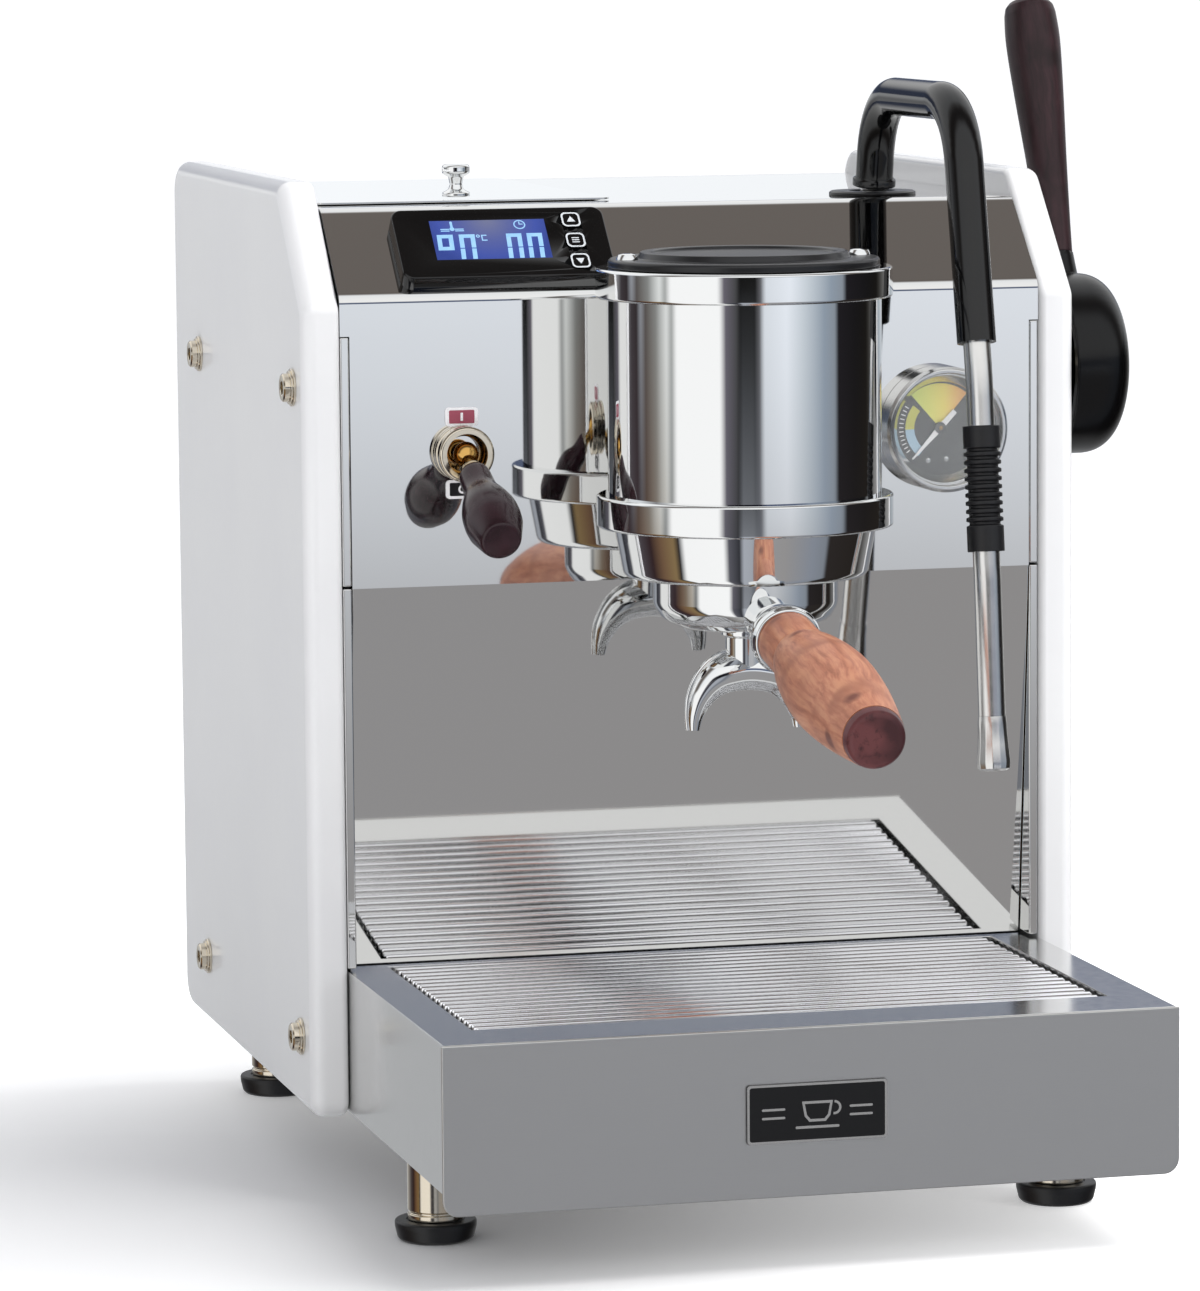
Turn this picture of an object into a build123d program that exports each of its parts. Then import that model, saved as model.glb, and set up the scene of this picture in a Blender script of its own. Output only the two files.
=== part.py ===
"""Espresso machine: white side panels, polished body, saturated group, steam wand and drip drawer.

The origin is on the table under the middle of the overall box. +X is the machine's right side,
+Y its back and +Z up. Lengths are in millimetres.
"""

import os
from math import atan2, cos, degrees, radians, sin, tan

from build123d import *

# Where the body stands in the frame: its middle plane and the front edge of its side panels.
middle_x = -12.2
face_y = -4.5

# Body
inner_width = 285.0
panel_thick = 15.0
panel_depth = 275.0
panel_bottom = 34.0
panel_top = 400.0
bend_z = 353.0
slope_back_y = 45.5
sheet = 1.2
sheet_y = 2.0
fold_z = 356.5
deck_y = 36.0
deck_z = 389.5
seam_z = 243.5
wide_sheet_z = 341.5
trim_width = 3.8
splash_tilt = 5.0
rear_y = 268.0

# Feet
foot_x = 125.0
foot_front_y = -73.0
foot_back_y = 236.0
foot_post_r = 10.8
foot_pad_r = 15.75
foot_pad_height = 8.0
base_z = 33.5

# Drip drawer
tray_half = 142.2
tray_front_y = -164.5
tray_back_y = 13.5
tray_bottom = 35.9
tray_top = 92.0
grille_half = 124.5
grille_front_y = -135.5
grille_back_y = 9.0
rod_count = 18
rod_r = 2.5
plate_half = 143.0
plate_bottom = 28.0

# Display on the sloping front
display_x = -73.9
display_up = 21.8
display_width = 85.5
display_height = 36.7
display_thick = 6.5
button_x = 29.0
button_pitch = 11.0
button_size = 7.6
button_travel = 0.5

# Brew lever
brew_x = -94.2
brew_z = 295.0
brew_ball_y = -5.0
brew_droop = 26.0

# Pressure gauge
gauge_x = 101.0
gauge_z = 299.4
gauge_r = 25.0

# Group head
group_x = 1.0
group_y = -68.0
group_r = 52.5
ring_r = 57.0
group_top = 369.6
top_ring_z = 358.0
low_ring_top = 282.7
low_ring_z = 270.3
bell_bottom = 251.2
bell_r = 50.4

# Portafilter
handle_yaw = 2.0
handle_droop = 9.0
handle_z = 243.3
bowl_r = 35.7
bowl_top = 261.9
bowl_floor = 230.0
handle_start = 68.0
handle_end = 199.0

# Steam wand
wand_x = 94.0
wand_y = 70.0
ball_z = 382.0
wand_tube_r = 5.3
arm_r = 7.6
arch_z = 430.0
arch_radius = 30.0

# Steam lever
hub_y = 36.0
hub_z = 321.0
hub_r = 36.5
hub_gap = 1.2
hub_reach = 29.0
lever_x = 167.0
lever_lean = 20.0
lever_start = 46.0
lever_end = 154.0

# Water tank under the left half of the top
tank_left = -134.0
tank_right = -22.0
tank_front = 70.0
tank_back = 255.0
tank_bottom = 150.0

outer_half = inner_width / 2 + panel_thick
sheet_half = inner_width / 2 - 0.2
slope_angle = degrees(atan2(deck_z - fold_z, deck_y - sheet_y))

os.makedirs("parts", exist_ok=True)


# Planes in the body's own measures: x from its middle, y from the panels' front edge, z from the table
def level(z):
    """Horizontal plane at height z."""
    return Plane(origin=(middle_x, face_y, z))


def upright(y):
    """Plane across the machine at depth y, facing forwards. Local y is height."""
    return Plane(origin=(middle_x, face_y + y, 0), x_dir=(1, 0, 0), z_dir=(0, -1, 0))


def section(x):
    """Plane along the machine at x, facing right. Local x runs back and local y is height."""
    return Plane(origin=(middle_x + x, face_y, 0), x_dir=(0, 1, 0), z_dir=(1, 0, 0))


def spindle(x, y, z, along, across):
    """Plane whose local y runs along a turned piece's axis, and whose origin lies on it."""
    along = Vector(*along).normalized()
    across = Vector(*across).normalized()
    origin = (middle_x + x, face_y + y, z)
    return Plane(origin=origin, x_dir=across, z_dir=across.cross(along))


def turned(axis_plane, outline):
    """A piece turned about the plane's local y axis. The outline is (radius, distance) points."""
    with BuildPart() as piece:
        with BuildSketch(axis_plane):
            with BuildLine():
                Polyline(*outline, close=True)
            make_face()
        revolve(axis=Axis(axis_plane.origin, axis_plane.y_dir))
    return piece.part


def block(low, high):
    """A box between two corners, in the body's own measures."""
    size = [b - a for a, b in zip(low, high)]
    centre = [(a + b) / 2 for a, b in zip(low, high)]
    with BuildPart(level(0)) as piece:
        with Locations(tuple(centre)):
            Box(*size)
    return piece.part


def tube(plane, points, radii, outer, inner=0.0):
    """A round tube along runs and arcs drawn on a plane."""
    with BuildPart() as piece:
        with BuildLine(plane) as route:
            FilletPolyline(*points, radius=radii)
        start = Plane(origin=route.line @ 0, z_dir=route.line % 0)
        with BuildSketch(start):
            Circle(outer)
            if inner:
                Circle(inner, mode=Mode.SUBTRACT)
        sweep(path=route.line)
    return piece.part


# ---------------------------------------------------------------- side panels and their screws
screw_spots = [(y, z) for y in (20.0, 217.0) for z in (64.0, 321.0)]
screw_hole_r = 3.1


def side_panel(inner_x, outward):
    """Thick lacquered board with a sloping front top corner and rounded edges."""
    with BuildPart() as piece:
        with BuildSketch(section(inner_x)):
            with BuildLine():
                Polyline(
                    (0, panel_bottom),
                    (panel_depth, panel_bottom),
                    (panel_depth, panel_top),
                    (slope_back_y, panel_top),
                    (0, bend_z),
                    close=True,
                )
            make_face()
        extrude(amount=outward * panel_thick)
        corners = piece.edges().filter_by(Axis.X).sort_by(Axis.Y)
        fillet(corners[-2:], 14)
        fillet(corners[:3], 7)
        faces = piece.faces().filter_by(Axis.X).sort_by(Axis.X)
        outside, inside = (faces[-1], faces[0]) if outward > 0 else (faces[0], faces[-1])
        fillet(outside.edges(), 6)
        fillet(inside.edges(), 3)
        with BuildSketch(section(inner_x)):
            with Locations(*screw_spots):
                Circle(screw_hole_r)
        extrude(amount=outward * panel_thick, mode=Mode.SUBTRACT)
    return piece


side_panel_left = side_panel(-inner_width / 2, -1)
side_panel_left.part.label = "side_panel_left"
export_step(side_panel_left.part, "parts/side_panel_left.step")

spindle_hole_r = 6.5
with BuildPart() as side_panel_right:
    add(side_panel(inner_width / 2, 1).part)
    with BuildSketch(section(inner_width / 2)):
        with Locations((hub_y, hub_z)):
            Circle(spindle_hole_r)
    extrude(amount=panel_thick, mode=Mode.SUBTRACT)
side_panel_right.part.label = "side_panel_right"
export_step(side_panel_right.part, "parts/side_panel_right.step")

# Socket-head screws, each on two stacked washers, and the two smaller ones in the group's cap
washer_r = 7.4
head_r = 5.6
shank_r = 3.0
cap_screw_x = 46.0
cap_top = group_top + 3.4
panel_screw = [
    (0, 3.2),
    (2.6, 3.2),
    (2.6, 4.6),
    (head_r, 4.6),
    (head_r, 1.7),
    (washer_r, 1.5),
    (washer_r, 0.02),
    (shank_r, 0.02),
    (shank_r, -16.4),
    (0, -16.4),
]
cap_screw = [(0, 1.2), (1.6, 1.2), (1.6, 2.4), (3.6, 2.0), (4.2, 0.02), (1.4, 0.02), (1.4, -3), (0, -3)]
with BuildPart() as machine_screws:
    for side in (-1, 1):
        for y, z in screw_spots:
            add(turned(spindle(side * outer_half, y, z, (side, 0, 0), (0, 1, 0)), panel_screw))
        cap_x = group_x + side * cap_screw_x
        add(turned(spindle(cap_x, group_y, cap_top, (0, 0, 1), (1, 0, 0)), cap_screw))
machine_screws.part.label = "machine_screws"
export_step(machine_screws.part, "parts/machine_screws.step")

# ---------------------------------------------------------------- frame, feet and back
frame_x = inner_width / 2 - 0.3
frame_front = 17.0
flange_top = 360.0
frame_y = 24.0
with BuildPart() as inner_frame:
    add(block((-139.5, -160, base_z), (139.5, rear_y - 1, base_z + 1.6)))
    for side in (-1, 1):
        near, far = sorted((side * frame_x, side * (frame_x - 1.6)))
        add(block((near, frame_y, base_z), (far, rear_y - 1, flange_top)))
    add(block((-frame_x, frame_y, base_z), (frame_x, rear_y - 1, base_z + 1.6)))
    with BuildSketch(section(-frame_x - 1)):
        with Locations(*screw_spots[2:]):
            Circle(screw_hole_r)
    extrude(amount=inner_width + 4, mode=Mode.SUBTRACT)
    with BuildSketch(section(0)):
        with Locations((hub_y, hub_z)):
            Circle(spindle_hole_r)
    extrude(amount=inner_width, mode=Mode.SUBTRACT)
inner_frame.part.label = "inner_frame"
export_step(inner_frame.part, "parts/inner_frame.step")

foot_spots = [(side * foot_x, y) for side in (-1, 1) for y in (foot_front_y, foot_back_y)]
with BuildPart() as foot_posts:
    for x, y in foot_spots:
        post = [(0, 6), (4, 6), (4, foot_pad_height), (foot_post_r, foot_pad_height)]
        post += [(foot_post_r, base_z), (0, base_z)]
        add(turned(spindle(x, y, 0, (0, 0, 1), (1, 0, 0)), post))
foot_posts.part.label = "foot_posts"
export_step(foot_posts.part, "parts/foot_posts.step")

with BuildPart() as foot_pads:
    for x, y in foot_spots:
        pad = [(0, 0), (foot_pad_r - 2.2, 0), (foot_pad_r - 1, 1.2), (foot_pad_r, foot_pad_height - 2.4)]
        pad += [(foot_pad_r, foot_pad_height - 0.6), (foot_pad_r - 0.6, foot_pad_height)]
        pad += [(4, foot_pad_height), (4, 6), (0, 6)]
        add(turned(spindle(x, y, 0, (0, 0, 1), (1, 0, 0)), pad))
foot_pads.part.label = "foot_pads"
export_step(foot_pads.part, "parts/foot_pads.step")

inlet_x = 90.0
inlet_z = 80.0
with BuildPart() as rear_panel:
    add(block((-sheet_half, rear_y, base_z + 2), (sheet_half, rear_y + sheet, deck_z)))
    with BuildSketch(upright(rear_y + sheet)):
        with Locations((0, 250)):
            with GridLocations(24, 14, 8, 8):
                SlotOverall(16, 5)
        with Locations((inlet_x, inlet_z)):
            Rectangle(29, 22)
    extrude(amount=sheet, mode=Mode.SUBTRACT)
rear_panel.part.label = "rear_panel"
export_step(rear_panel.part, "parts/rear_panel.step")

# Appliance inlet: a flanged socket with three flat pins
with BuildPart() as power_inlet:
    with BuildSketch(upright(rear_y + sheet + 2.5)):
        with Locations((inlet_x, inlet_z)):
            RectangleRounded(46, 28, 6)
    extrude(amount=2.45)
    with BuildSketch(upright(rear_y + sheet + 2.5)):
        with Locations((inlet_x, inlet_z)):
            Rectangle(28.5, 21.5)
    extrude(amount=24)
    with BuildSketch(upright(rear_y + sheet + 2.5)):
        with Locations((inlet_x, inlet_z)):
            RectangleRounded(24.5, 17, 3)
    extrude(amount=17, mode=Mode.SUBTRACT)
    with BuildSketch(upright(rear_y + sheet - 15)):
        with Locations((inlet_x - 7, inlet_z - 2), (inlet_x, inlet_z + 3), (inlet_x + 7, inlet_z - 2)):
            Rectangle(2, 4.5)
    extrude(amount=-13)
power_inlet.part.label = "power_inlet"
export_step(power_inlet.part, "parts/power_inlet.step")

# ---------------------------------------------------------------- polished front sheets and top
neck_r = 25.0
gauge_can_r = 22.6
bushing_barrel_r = 8.6
with BuildPart() as front_panel:
    with BuildSketch(section(-sheet_half)):
        with BuildLine():
            fold_back = sheet * tan(radians(90 - slope_angle) / 2)
            deck_back = sheet * tan(radians(slope_angle) / 2)
            Polyline(
                (sheet_y, seam_z + 0.3),
                (sheet_y, fold_z),
                (deck_y, deck_z),
                (deck_y + 8, deck_z),
                (deck_y + 8, deck_z - sheet),
                (deck_y + deck_back, deck_z - sheet),
                (sheet_y + sheet, fold_z - fold_back),
                (sheet_y + sheet, seam_z + 0.3),
                close=True,
            )
        make_face()
    extrude(amount=2 * sheet_half)
    with BuildSketch(upright(sheet_y + sheet)):
        for side in (-1, 1):
            with Locations((side * (sheet_half - trim_width / 2 + 1), (wide_sheet_z + seam_z) / 2)):
                Rectangle(trim_width + 2, wide_sheet_z - seam_z)
        with Locations((group_x, 318)):
            Circle(neck_r + 0.2)
        with Locations((gauge_x, gauge_z)):
            Circle(gauge_can_r + 0.2)
        with Locations((brew_x, brew_z)):
            Circle(bushing_barrel_r + 0.2)
    extrude(amount=sheet, mode=Mode.SUBTRACT)
front_panel.part.label = "front_panel"
export_step(front_panel.part, "parts/front_panel.step")

splash_half = sheet_half - trim_width - 0.1
splash_foot = 38.0
splash_back = (seam_z - splash_foot) * tan(radians(splash_tilt))
with BuildPart() as splash_panel:
    with BuildSketch(section(-splash_half)):
        with BuildLine():
            Polyline(
                (sheet_y, seam_z),
                (sheet_y + splash_back, splash_foot),
                (sheet_y + splash_back + sheet, splash_foot),
                (sheet_y + sheet, seam_z),
                close=True,
            )
        make_face()
    extrude(amount=2 * splash_half)
splash_panel.part.label = "splash_panel"
export_step(splash_panel.part, "parts/splash_panel.step")

with BuildPart() as panel_trims:
    for side in (-1, 1):
        for low_z, high_z in ((tray_top + 1, seam_z - 0.4), (seam_z + 0.4, wide_sheet_z - 0.3)):
            near, far = sorted((side * (sheet_half - trim_width + 0.2), side * sheet_half))
            add(block((near, sheet_y, low_z), (far, frame_front, high_z)))
panel_trims.part.label = "panel_trims"
export_step(panel_trims.part, "parts/panel_trims.step")

top_front = deck_y + 8.2
grommet_hole_r = 12.0
with BuildPart() as top_plate:
    add(block((-sheet_half, top_front, deck_z - sheet), (sheet_half, rear_y - 0.2, deck_z)))
    with BuildSketch(level(deck_z)):
        with Locations(((tank_left + tank_right) / 2, (tank_front + tank_back) / 2)):
            Rectangle(tank_right - tank_left + 3, tank_back - tank_front + 3)
        with Locations((wand_x, wand_y)):
            Circle(grommet_hole_r)
    extrude(amount=-sheet, mode=Mode.SUBTRACT)
top_plate.part.label = "top_plate"
export_step(top_plate.part, "parts/top_plate.step")

# ---------------------------------------------------------------- water tank and its lid
tank_wall = 2.4
tank_rim = 386.0
lid_lap = 5.0
knob_x = -77.0
knob_y = 82.0
with BuildPart() as water_tank:
    with BuildSketch(level(tank_bottom)):
        with Locations(((tank_left + tank_right) / 2, (tank_front + tank_back) / 2)):
            RectangleRounded(tank_right - tank_left, tank_back - tank_front, 10)
    extrude(amount=tank_rim - tank_bottom)
    top = water_tank.faces().sort_by(Axis.Z)[-1]
    offset(amount=-tank_wall, openings=top)
water_tank.part.label = "water_tank"
export_step(water_tank.part, "parts/water_tank.step")

knob_profile = [(0, 0), (5.6, 0), (5.6, 1.6), (3.4, 2.6), (2.6, 5), (3.2, 8.2), (5.4, 9.4)]
knob_profile += [(5.6, 12.2), (4.6, 13), (0, 13)]
lid_z = deck_z + 0.3
lid_thick = 1.5
with BuildPart() as tank_lid:
    with BuildSketch(level(lid_z)):
        with Locations(((tank_left + tank_right) / 2, (tank_front + tank_back) / 2)):
            RectangleRounded(tank_right - tank_left + 2 * lid_lap, tank_back - tank_front + 2 * lid_lap, 4)
    extrude(amount=lid_thick)
    add(turned(spindle(knob_x, knob_y, lid_z + lid_thick, (0, 0, 1), (1, 0, 0)), knob_profile))
tank_lid.part.label = "tank_lid"
export_step(tank_lid.part, "parts/tank_lid.step")

# ---------------------------------------------------------------- drip drawer
tray_wall = 1.2
lip_depth = 5.0
with BuildPart() as tray_body:
    add(block((-tray_half, tray_front_y, tray_bottom), (tray_half, tray_back_y, tray_top)))
    low = (-tray_half + tray_wall, tray_front_y + tray_wall, tray_bottom + tray_wall)
    high = (tray_half - tray_wall, tray_back_y - tray_wall, tray_top - tray_wall)
    add(block(low, high), mode=Mode.SUBTRACT)
    lip_low = (-grille_half - tray_wall, grille_front_y - tray_wall, tray_top - lip_depth)
    lip_high = (grille_half + tray_wall, grille_back_y + tray_wall, tray_top)
    add(block(lip_low, lip_high))
    low = (-grille_half, grille_front_y, tray_top - lip_depth)
    high = (grille_half, grille_back_y, tray_top)
    add(block(low, high), mode=Mode.SUBTRACT)
tray_body.part.label = "tray_body"
export_step(tray_body.part, "parts/tray_body.step")

with BuildPart() as tray_front_plate:
    with BuildSketch(upright(tray_front_y - 0.02)):
        with Locations((0, (plate_bottom + tray_top) / 2)):
            Rectangle(2 * plate_half, tray_top - plate_bottom)
    extrude(amount=1.5)
    lower_corners = tray_front_plate.edges().filter_by(Axis.Y).group_by(Axis.Z)[0]
    fillet(lower_corners, 6)
tray_front_plate.part.label = "tray_front_plate"
export_step(tray_front_plate.part, "parts/tray_front_plate.step")

badge_width = 54.5
badge_height = 22.5
badge_z = 60.0
with BuildPart() as badge_plate:
    with BuildSketch(upright(tray_front_y - 1.54)):
        with Locations((0, badge_z)):
            RectangleRounded(badge_width, badge_height, 1.2)
    extrude(amount=1.0)
badge_plate.part.label = "badge_plate"
export_step(badge_plate.part, "parts/badge_plate.step")

pan_gap = 1.4
pan_wall = 1.0
pan_top = 84.3
pan_bottom = 38.5
with BuildPart() as drip_pan:
    low = (-grille_half + pan_gap, grille_front_y + pan_gap, pan_bottom)
    high = (grille_half - pan_gap, grille_back_y - pan_gap, pan_top)
    add(block(low, high))
    fillet(drip_pan.edges().filter_by(Axis.Z), 8)
    top = drip_pan.faces().sort_by(Axis.Z)[-1]
    offset(amount=-pan_wall, openings=top)
drip_pan.part.label = "drip_pan"
export_step(drip_pan.part, "parts/drip_pan.step")

# The grille: round rods laid left to right on four cross wires
rod_half = grille_half - 2.6
rod_front = grille_front_y + rod_r + 1.2
rod_back = grille_back_y - rod_r - 1.2
rod_pitch = (rod_back - rod_front) / (rod_count - 1)
rod_z = tray_top - rod_r - 0.2
wire_r = 1.8
with BuildPart() as drip_grille:
    for index in range(rod_count):
        with BuildSketch(section(-rod_half)):
            with Locations((rod_front + index * rod_pitch, rod_z)):
                Circle(rod_r)
        extrude(amount=2 * rod_half)
    for x in (-rod_half + 4, -rod_half / 3, rod_half / 3, rod_half - 4):
        with BuildSketch(upright(rod_back + rod_r - 0.4)):
            with Locations((x, rod_z - 3.0)):
                Circle(wire_r)
        extrude(amount=rod_back - rod_front + 2 * rod_r - 0.8)
drip_grille.part.label = "drip_grille"
export_step(drip_grille.part, "parts/drip_grille.step")

# ---------------------------------------------------------------- display on the slope
slope_normal = (0, -sin(radians(slope_angle)), cos(radians(slope_angle)))


def slope(height):
    """Plane at a height off the sloping sheet. Local y runs up the slope from the display's centre."""
    base = Plane(origin=(middle_x, face_y + sheet_y, fold_z), x_dir=(1, 0, 0), z_dir=slope_normal)
    return Plane(origin=base.from_local_coords((display_x, display_up, height)), x_dir=(1, 0, 0), z_dir=slope_normal)


screen_x = -4.9
screen_up = 1.6
screen_width = 46.4
screen_height = 20.8
screen_pocket = 1.0
button_hole = button_size + 0.7
button_ups = {"up": button_pitch, "set": 0.0, "down": -button_pitch}
with BuildPart() as display_case:
    with BuildSketch(slope(0.02)):
        RectangleRounded(display_width, display_height, 4.5)
    extrude(amount=display_thick)
    face = display_case.faces().sort_by(Axis(display_case.part.center(), slope_normal))[-1]
    fillet(face.edges(), 0.8)
    with BuildSketch(slope(display_thick + 0.02)):
        with Locations((screen_x, screen_up)):
            Rectangle(screen_width, screen_height)
    extrude(amount=-screen_pocket, mode=Mode.SUBTRACT)
    with BuildSketch(slope(display_thick + 0.02)):
        for up in button_ups.values():
            with Locations((button_x, up)):
                RectangleRounded(button_hole, button_hole, 2.3)
    extrude(amount=-3.5, mode=Mode.SUBTRACT)
display_case.part.label = "display_case"
export_step(display_case.part, "parts/display_case.step")

with BuildPart() as display_screen:
    with BuildSketch(slope(display_thick - screen_pocket + 0.04)):
        with Locations((screen_x, screen_up)):
            Rectangle(screen_width - 0.1, screen_height - 0.1)
    extrude(amount=screen_pocket - 0.06)
display_screen.part.label = "display_screen"
export_step(display_screen.part, "parts/display_screen.step")


def key_cap(up):
    """A small square key that stands just proud of the display's face."""
    with BuildPart() as piece:
        with BuildSketch(slope(display_thick - 2.4)):
            with Locations((button_x, up)):
                RectangleRounded(button_size, button_size, 2)
        extrude(amount=2.8)
    return piece


button_up = key_cap(button_ups["up"])
button_up.part.label = "button_up"
export_step(button_up.part, "parts/button_up.step")

button_set = key_cap(button_ups["set"])
button_set.part.label = "button_set"
export_step(button_set.part, "parts/button_set.step")

button_down = key_cap(button_ups["down"])
button_down.part.label = "button_down"
export_step(button_down.part, "parts/button_down.step")

with BuildPart() as control_board:
    with BuildSketch(slope(-12)):
        Rectangle(78, 30)
    extrude(amount=1.6)
    with BuildSketch(slope(-10.42)):
        with Locations((-24, 4), (14, -3)):
            Rectangle(18, 14)
    extrude(amount=6)
control_board.part.label = "control_board"
export_step(control_board.part, "parts/control_board.step")

# ---------------------------------------------------------------- brew lever
flange_r = 11.0
bushing_axis = spindle(brew_x, sheet_y, brew_z, (0, -1, 0), (1, 0, 0))
bushing_profile = [(8.2, 10), (10.2, 10), (flange_r, 9.2), (flange_r, 5.2), (9.8, 4.6), (9.8, 3.4)]
bushing_profile += [(flange_r, 2.8), (flange_r, 0.05), (bushing_barrel_r, 0.05), (bushing_barrel_r, -16)]
bushing_profile += [(6.8, -16), (6.8, 3), (8.2, 4.4)]
with BuildPart() as lever_bushing:
    add(turned(bushing_axis, bushing_profile))
lever_bushing.part.label = "lever_bushing"
export_step(lever_bushing.part, "parts/lever_bushing.step")

droop = radians(brew_droop)
brew_axis = spindle(brew_x, brew_ball_y, brew_z, (0, -cos(droop), -sin(droop)), (1, 0, 0))
ball_r = 5.0
stem_r = 2.6
tail_r = 1.5
grip_start = 15.0
with BuildPart() as lever_stem:
    with BuildSketch(brew_axis):
        with BuildLine():
            Polyline((0, -8), (tail_r, -8), (tail_r, -(ball_r**2 - tail_r**2) ** 0.5))
            RadiusArc((tail_r, -(ball_r**2 - tail_r**2) ** 0.5), (stem_r, (ball_r**2 - stem_r**2) ** 0.5), -ball_r)
            Polyline((stem_r, (ball_r**2 - stem_r**2) ** 0.5), (stem_r, 12), (4.6, 12.4), (4.6, 15), (0, 15))
            Line((0, 15), (0, -8))
        make_face()
    revolve(axis=Axis(brew_axis.origin, brew_axis.y_dir))
lever_stem.part.label = "lever_stem"
export_step(lever_stem.part, "parts/lever_stem.step")

# Bulbous grip: narrow at the stem, widest past its middle, with a small flat end
grip_profile = [(5.6, grip_start), (6.3, 18), (6.5, 26), (7.4, 32), (9.6, 39), (11.0, 46)]
grip_profile += [(11.2, 51), (10.4, 58), (8.4, 63.5), (6.4, 66.5), (0, 67)]
with BuildPart() as lever_grip:
    with BuildSketch(brew_axis):
        with BuildLine():
            Spline(*grip_profile[:-1])
            Polyline(grip_profile[-2], grip_profile[-1], (0, grip_start + 0.02), (5.6, grip_start + 0.02), grip_profile[0])
        make_face()
    revolve(axis=Axis(brew_axis.origin, brew_axis.y_dir))
lever_grip.part.label = "lever_grip"
export_step(lever_grip.part, "parts/lever_grip.step")

with BuildPart() as brew_switch:
    add(block((brew_x - 10, 18.4, brew_z - 14), (brew_x + 10, 30, brew_z + 14)))
    add(block((brew_x - 1.5, 5.6, brew_z + 1), (brew_x + 1.5, 18.4, brew_z + 5)))
brew_switch.part.label = "brew_switch"
export_step(brew_switch.part, "parts/brew_switch.step")

# ---------------------------------------------------------------- pressure gauge
gauge_axis = spindle(gauge_x, sheet_y, gauge_z, (0, -1, 0), (1, 0, 0))
gauge_bore = gauge_r - 2.6
case_profile = [(0, -15), (gauge_can_r, -15), (gauge_can_r, 0.05), (gauge_r, 0.05), (gauge_r, 10.8)]
case_profile += [(gauge_r - 1, 12.4), (gauge_bore, 12.4), (gauge_bore, 8.6), (gauge_bore - 1.2, 8.6)]
case_profile += [(gauge_bore - 1.2, -2), (0, -2)]
with BuildPart() as gauge_case:
    add(turned(gauge_axis, case_profile))
gauge_case.part.label = "gauge_case"
export_step(gauge_case.part, "parts/gauge_case.step")

dial_r = gauge_bore - 1.3
with BuildPart() as gauge_dial:
    add(turned(gauge_axis, [(1.3, -1.98), (dial_r, -1.98), (dial_r, -0.8), (1.3, -0.8)]))
gauge_dial.part.label = "gauge_dial"
export_step(gauge_dial.part, "parts/gauge_dial.step")

# The needle points to the lower left at rest, and runs on a pin through the dial
needle_angle = 225.0
with BuildPart() as gauge_needle:
    add(turned(gauge_axis, [(0, -1.5), (1.0, -1.5), (1.0, 0.6), (2.2, 0.6), (2.2, 2.2), (0, 2.2)]))
    with BuildSketch(upright(sheet_y - 0.9)):
        with Locations(Location((gauge_x, gauge_z, 0), (0, 0, needle_angle))):
            Polygon((-8, 0.9), (0, 1.3), (16.5, 0.25), (16.5, -0.25), (0, -1.3), (-8, -0.9), align=None)
    extrude(amount=0.6)
gauge_needle.part.label = "gauge_needle"
export_step(gauge_needle.part, "parts/gauge_needle.step")

with BuildPart() as gauge_lens:
    add(turned(gauge_axis, [(0, 8.7), (gauge_bore - 0.1, 8.7), (gauge_bore - 0.1, 10.2), (0, 10.8)]))
gauge_lens.part.label = "gauge_lens"
export_step(gauge_lens.part, "parts/gauge_lens.step")

# ---------------------------------------------------------------- group head
group_axis = spindle(group_x, group_y, 0, (0, 0, 1), (0, -1, 0))
neck_z = 318.0
shell = 5.0
with BuildPart() as group_body:
    with BuildSketch(upright(9)):
        with Locations((group_x, neck_z)):
            Circle(neck_r + 9)
    extrude(amount=5.7)
    with BuildSketch(upright(9)):
        with Locations((group_x, neck_z)):
            Circle(neck_r)
    extrude(amount=40)
    add(turned(group_axis, [(0, low_ring_z), (group_r, low_ring_z), (group_r, group_top), (0, group_top)]))
    well = [(0, 279), (group_r - shell, 279), (group_r - shell, group_top), (0, group_top)]
    add(turned(group_axis, well), mode=Mode.SUBTRACT)
    add(turned(group_axis, [(0, 260), (26, 260), (26, 281), (0, 281)]), mode=Mode.SUBTRACT)
group_body.part.label = "group_body"
export_step(group_body.part, "parts/group_body.step")

with BuildPart() as group_rings:
    for low, high in ((top_ring_z, group_top), (low_ring_z, low_ring_top)):
        ring = [(group_r + 0.03, low), (ring_r - 0.8, low), (ring_r, low + 0.8)]
        ring += [(ring_r, high - 0.8), (ring_r - 0.8, high), (group_r + 0.03, high)]
        add(turned(group_axis, ring))
group_rings.part.label = "group_rings"
export_step(group_rings.part, "parts/group_rings.step")

# Black cap: a plug in the body, a flat flange over the upper ring and a raised dished centre
cap_r = 52.0
with BuildPart() as group_cap:
    cap = [(0, 362), (group_r - shell - 0.2, 362), (group_r - shell - 0.2, group_top + 0.03)]
    cap += [(cap_r, group_top + 0.03), (cap_r, cap_top - 1), (cap_r - 1, cap_top), (40.5, cap_top)]
    cap += [(39.5, cap_top + 2.6), (36, cap_top + 2.6), (35, cap_top + 1.2), (0, cap_top + 1.2)]
    add(turned(group_axis, cap))
    with BuildSketch(level(cap_top)):
        for side in (-1, 1):
            with Locations((group_x + side * cap_screw_x, group_y)):
                Circle(1.5)
    extrude(amount=-3.3, mode=Mode.SUBTRACT)
group_cap.part.label = "group_cap"
export_step(group_cap.part, "parts/group_cap.step")

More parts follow.
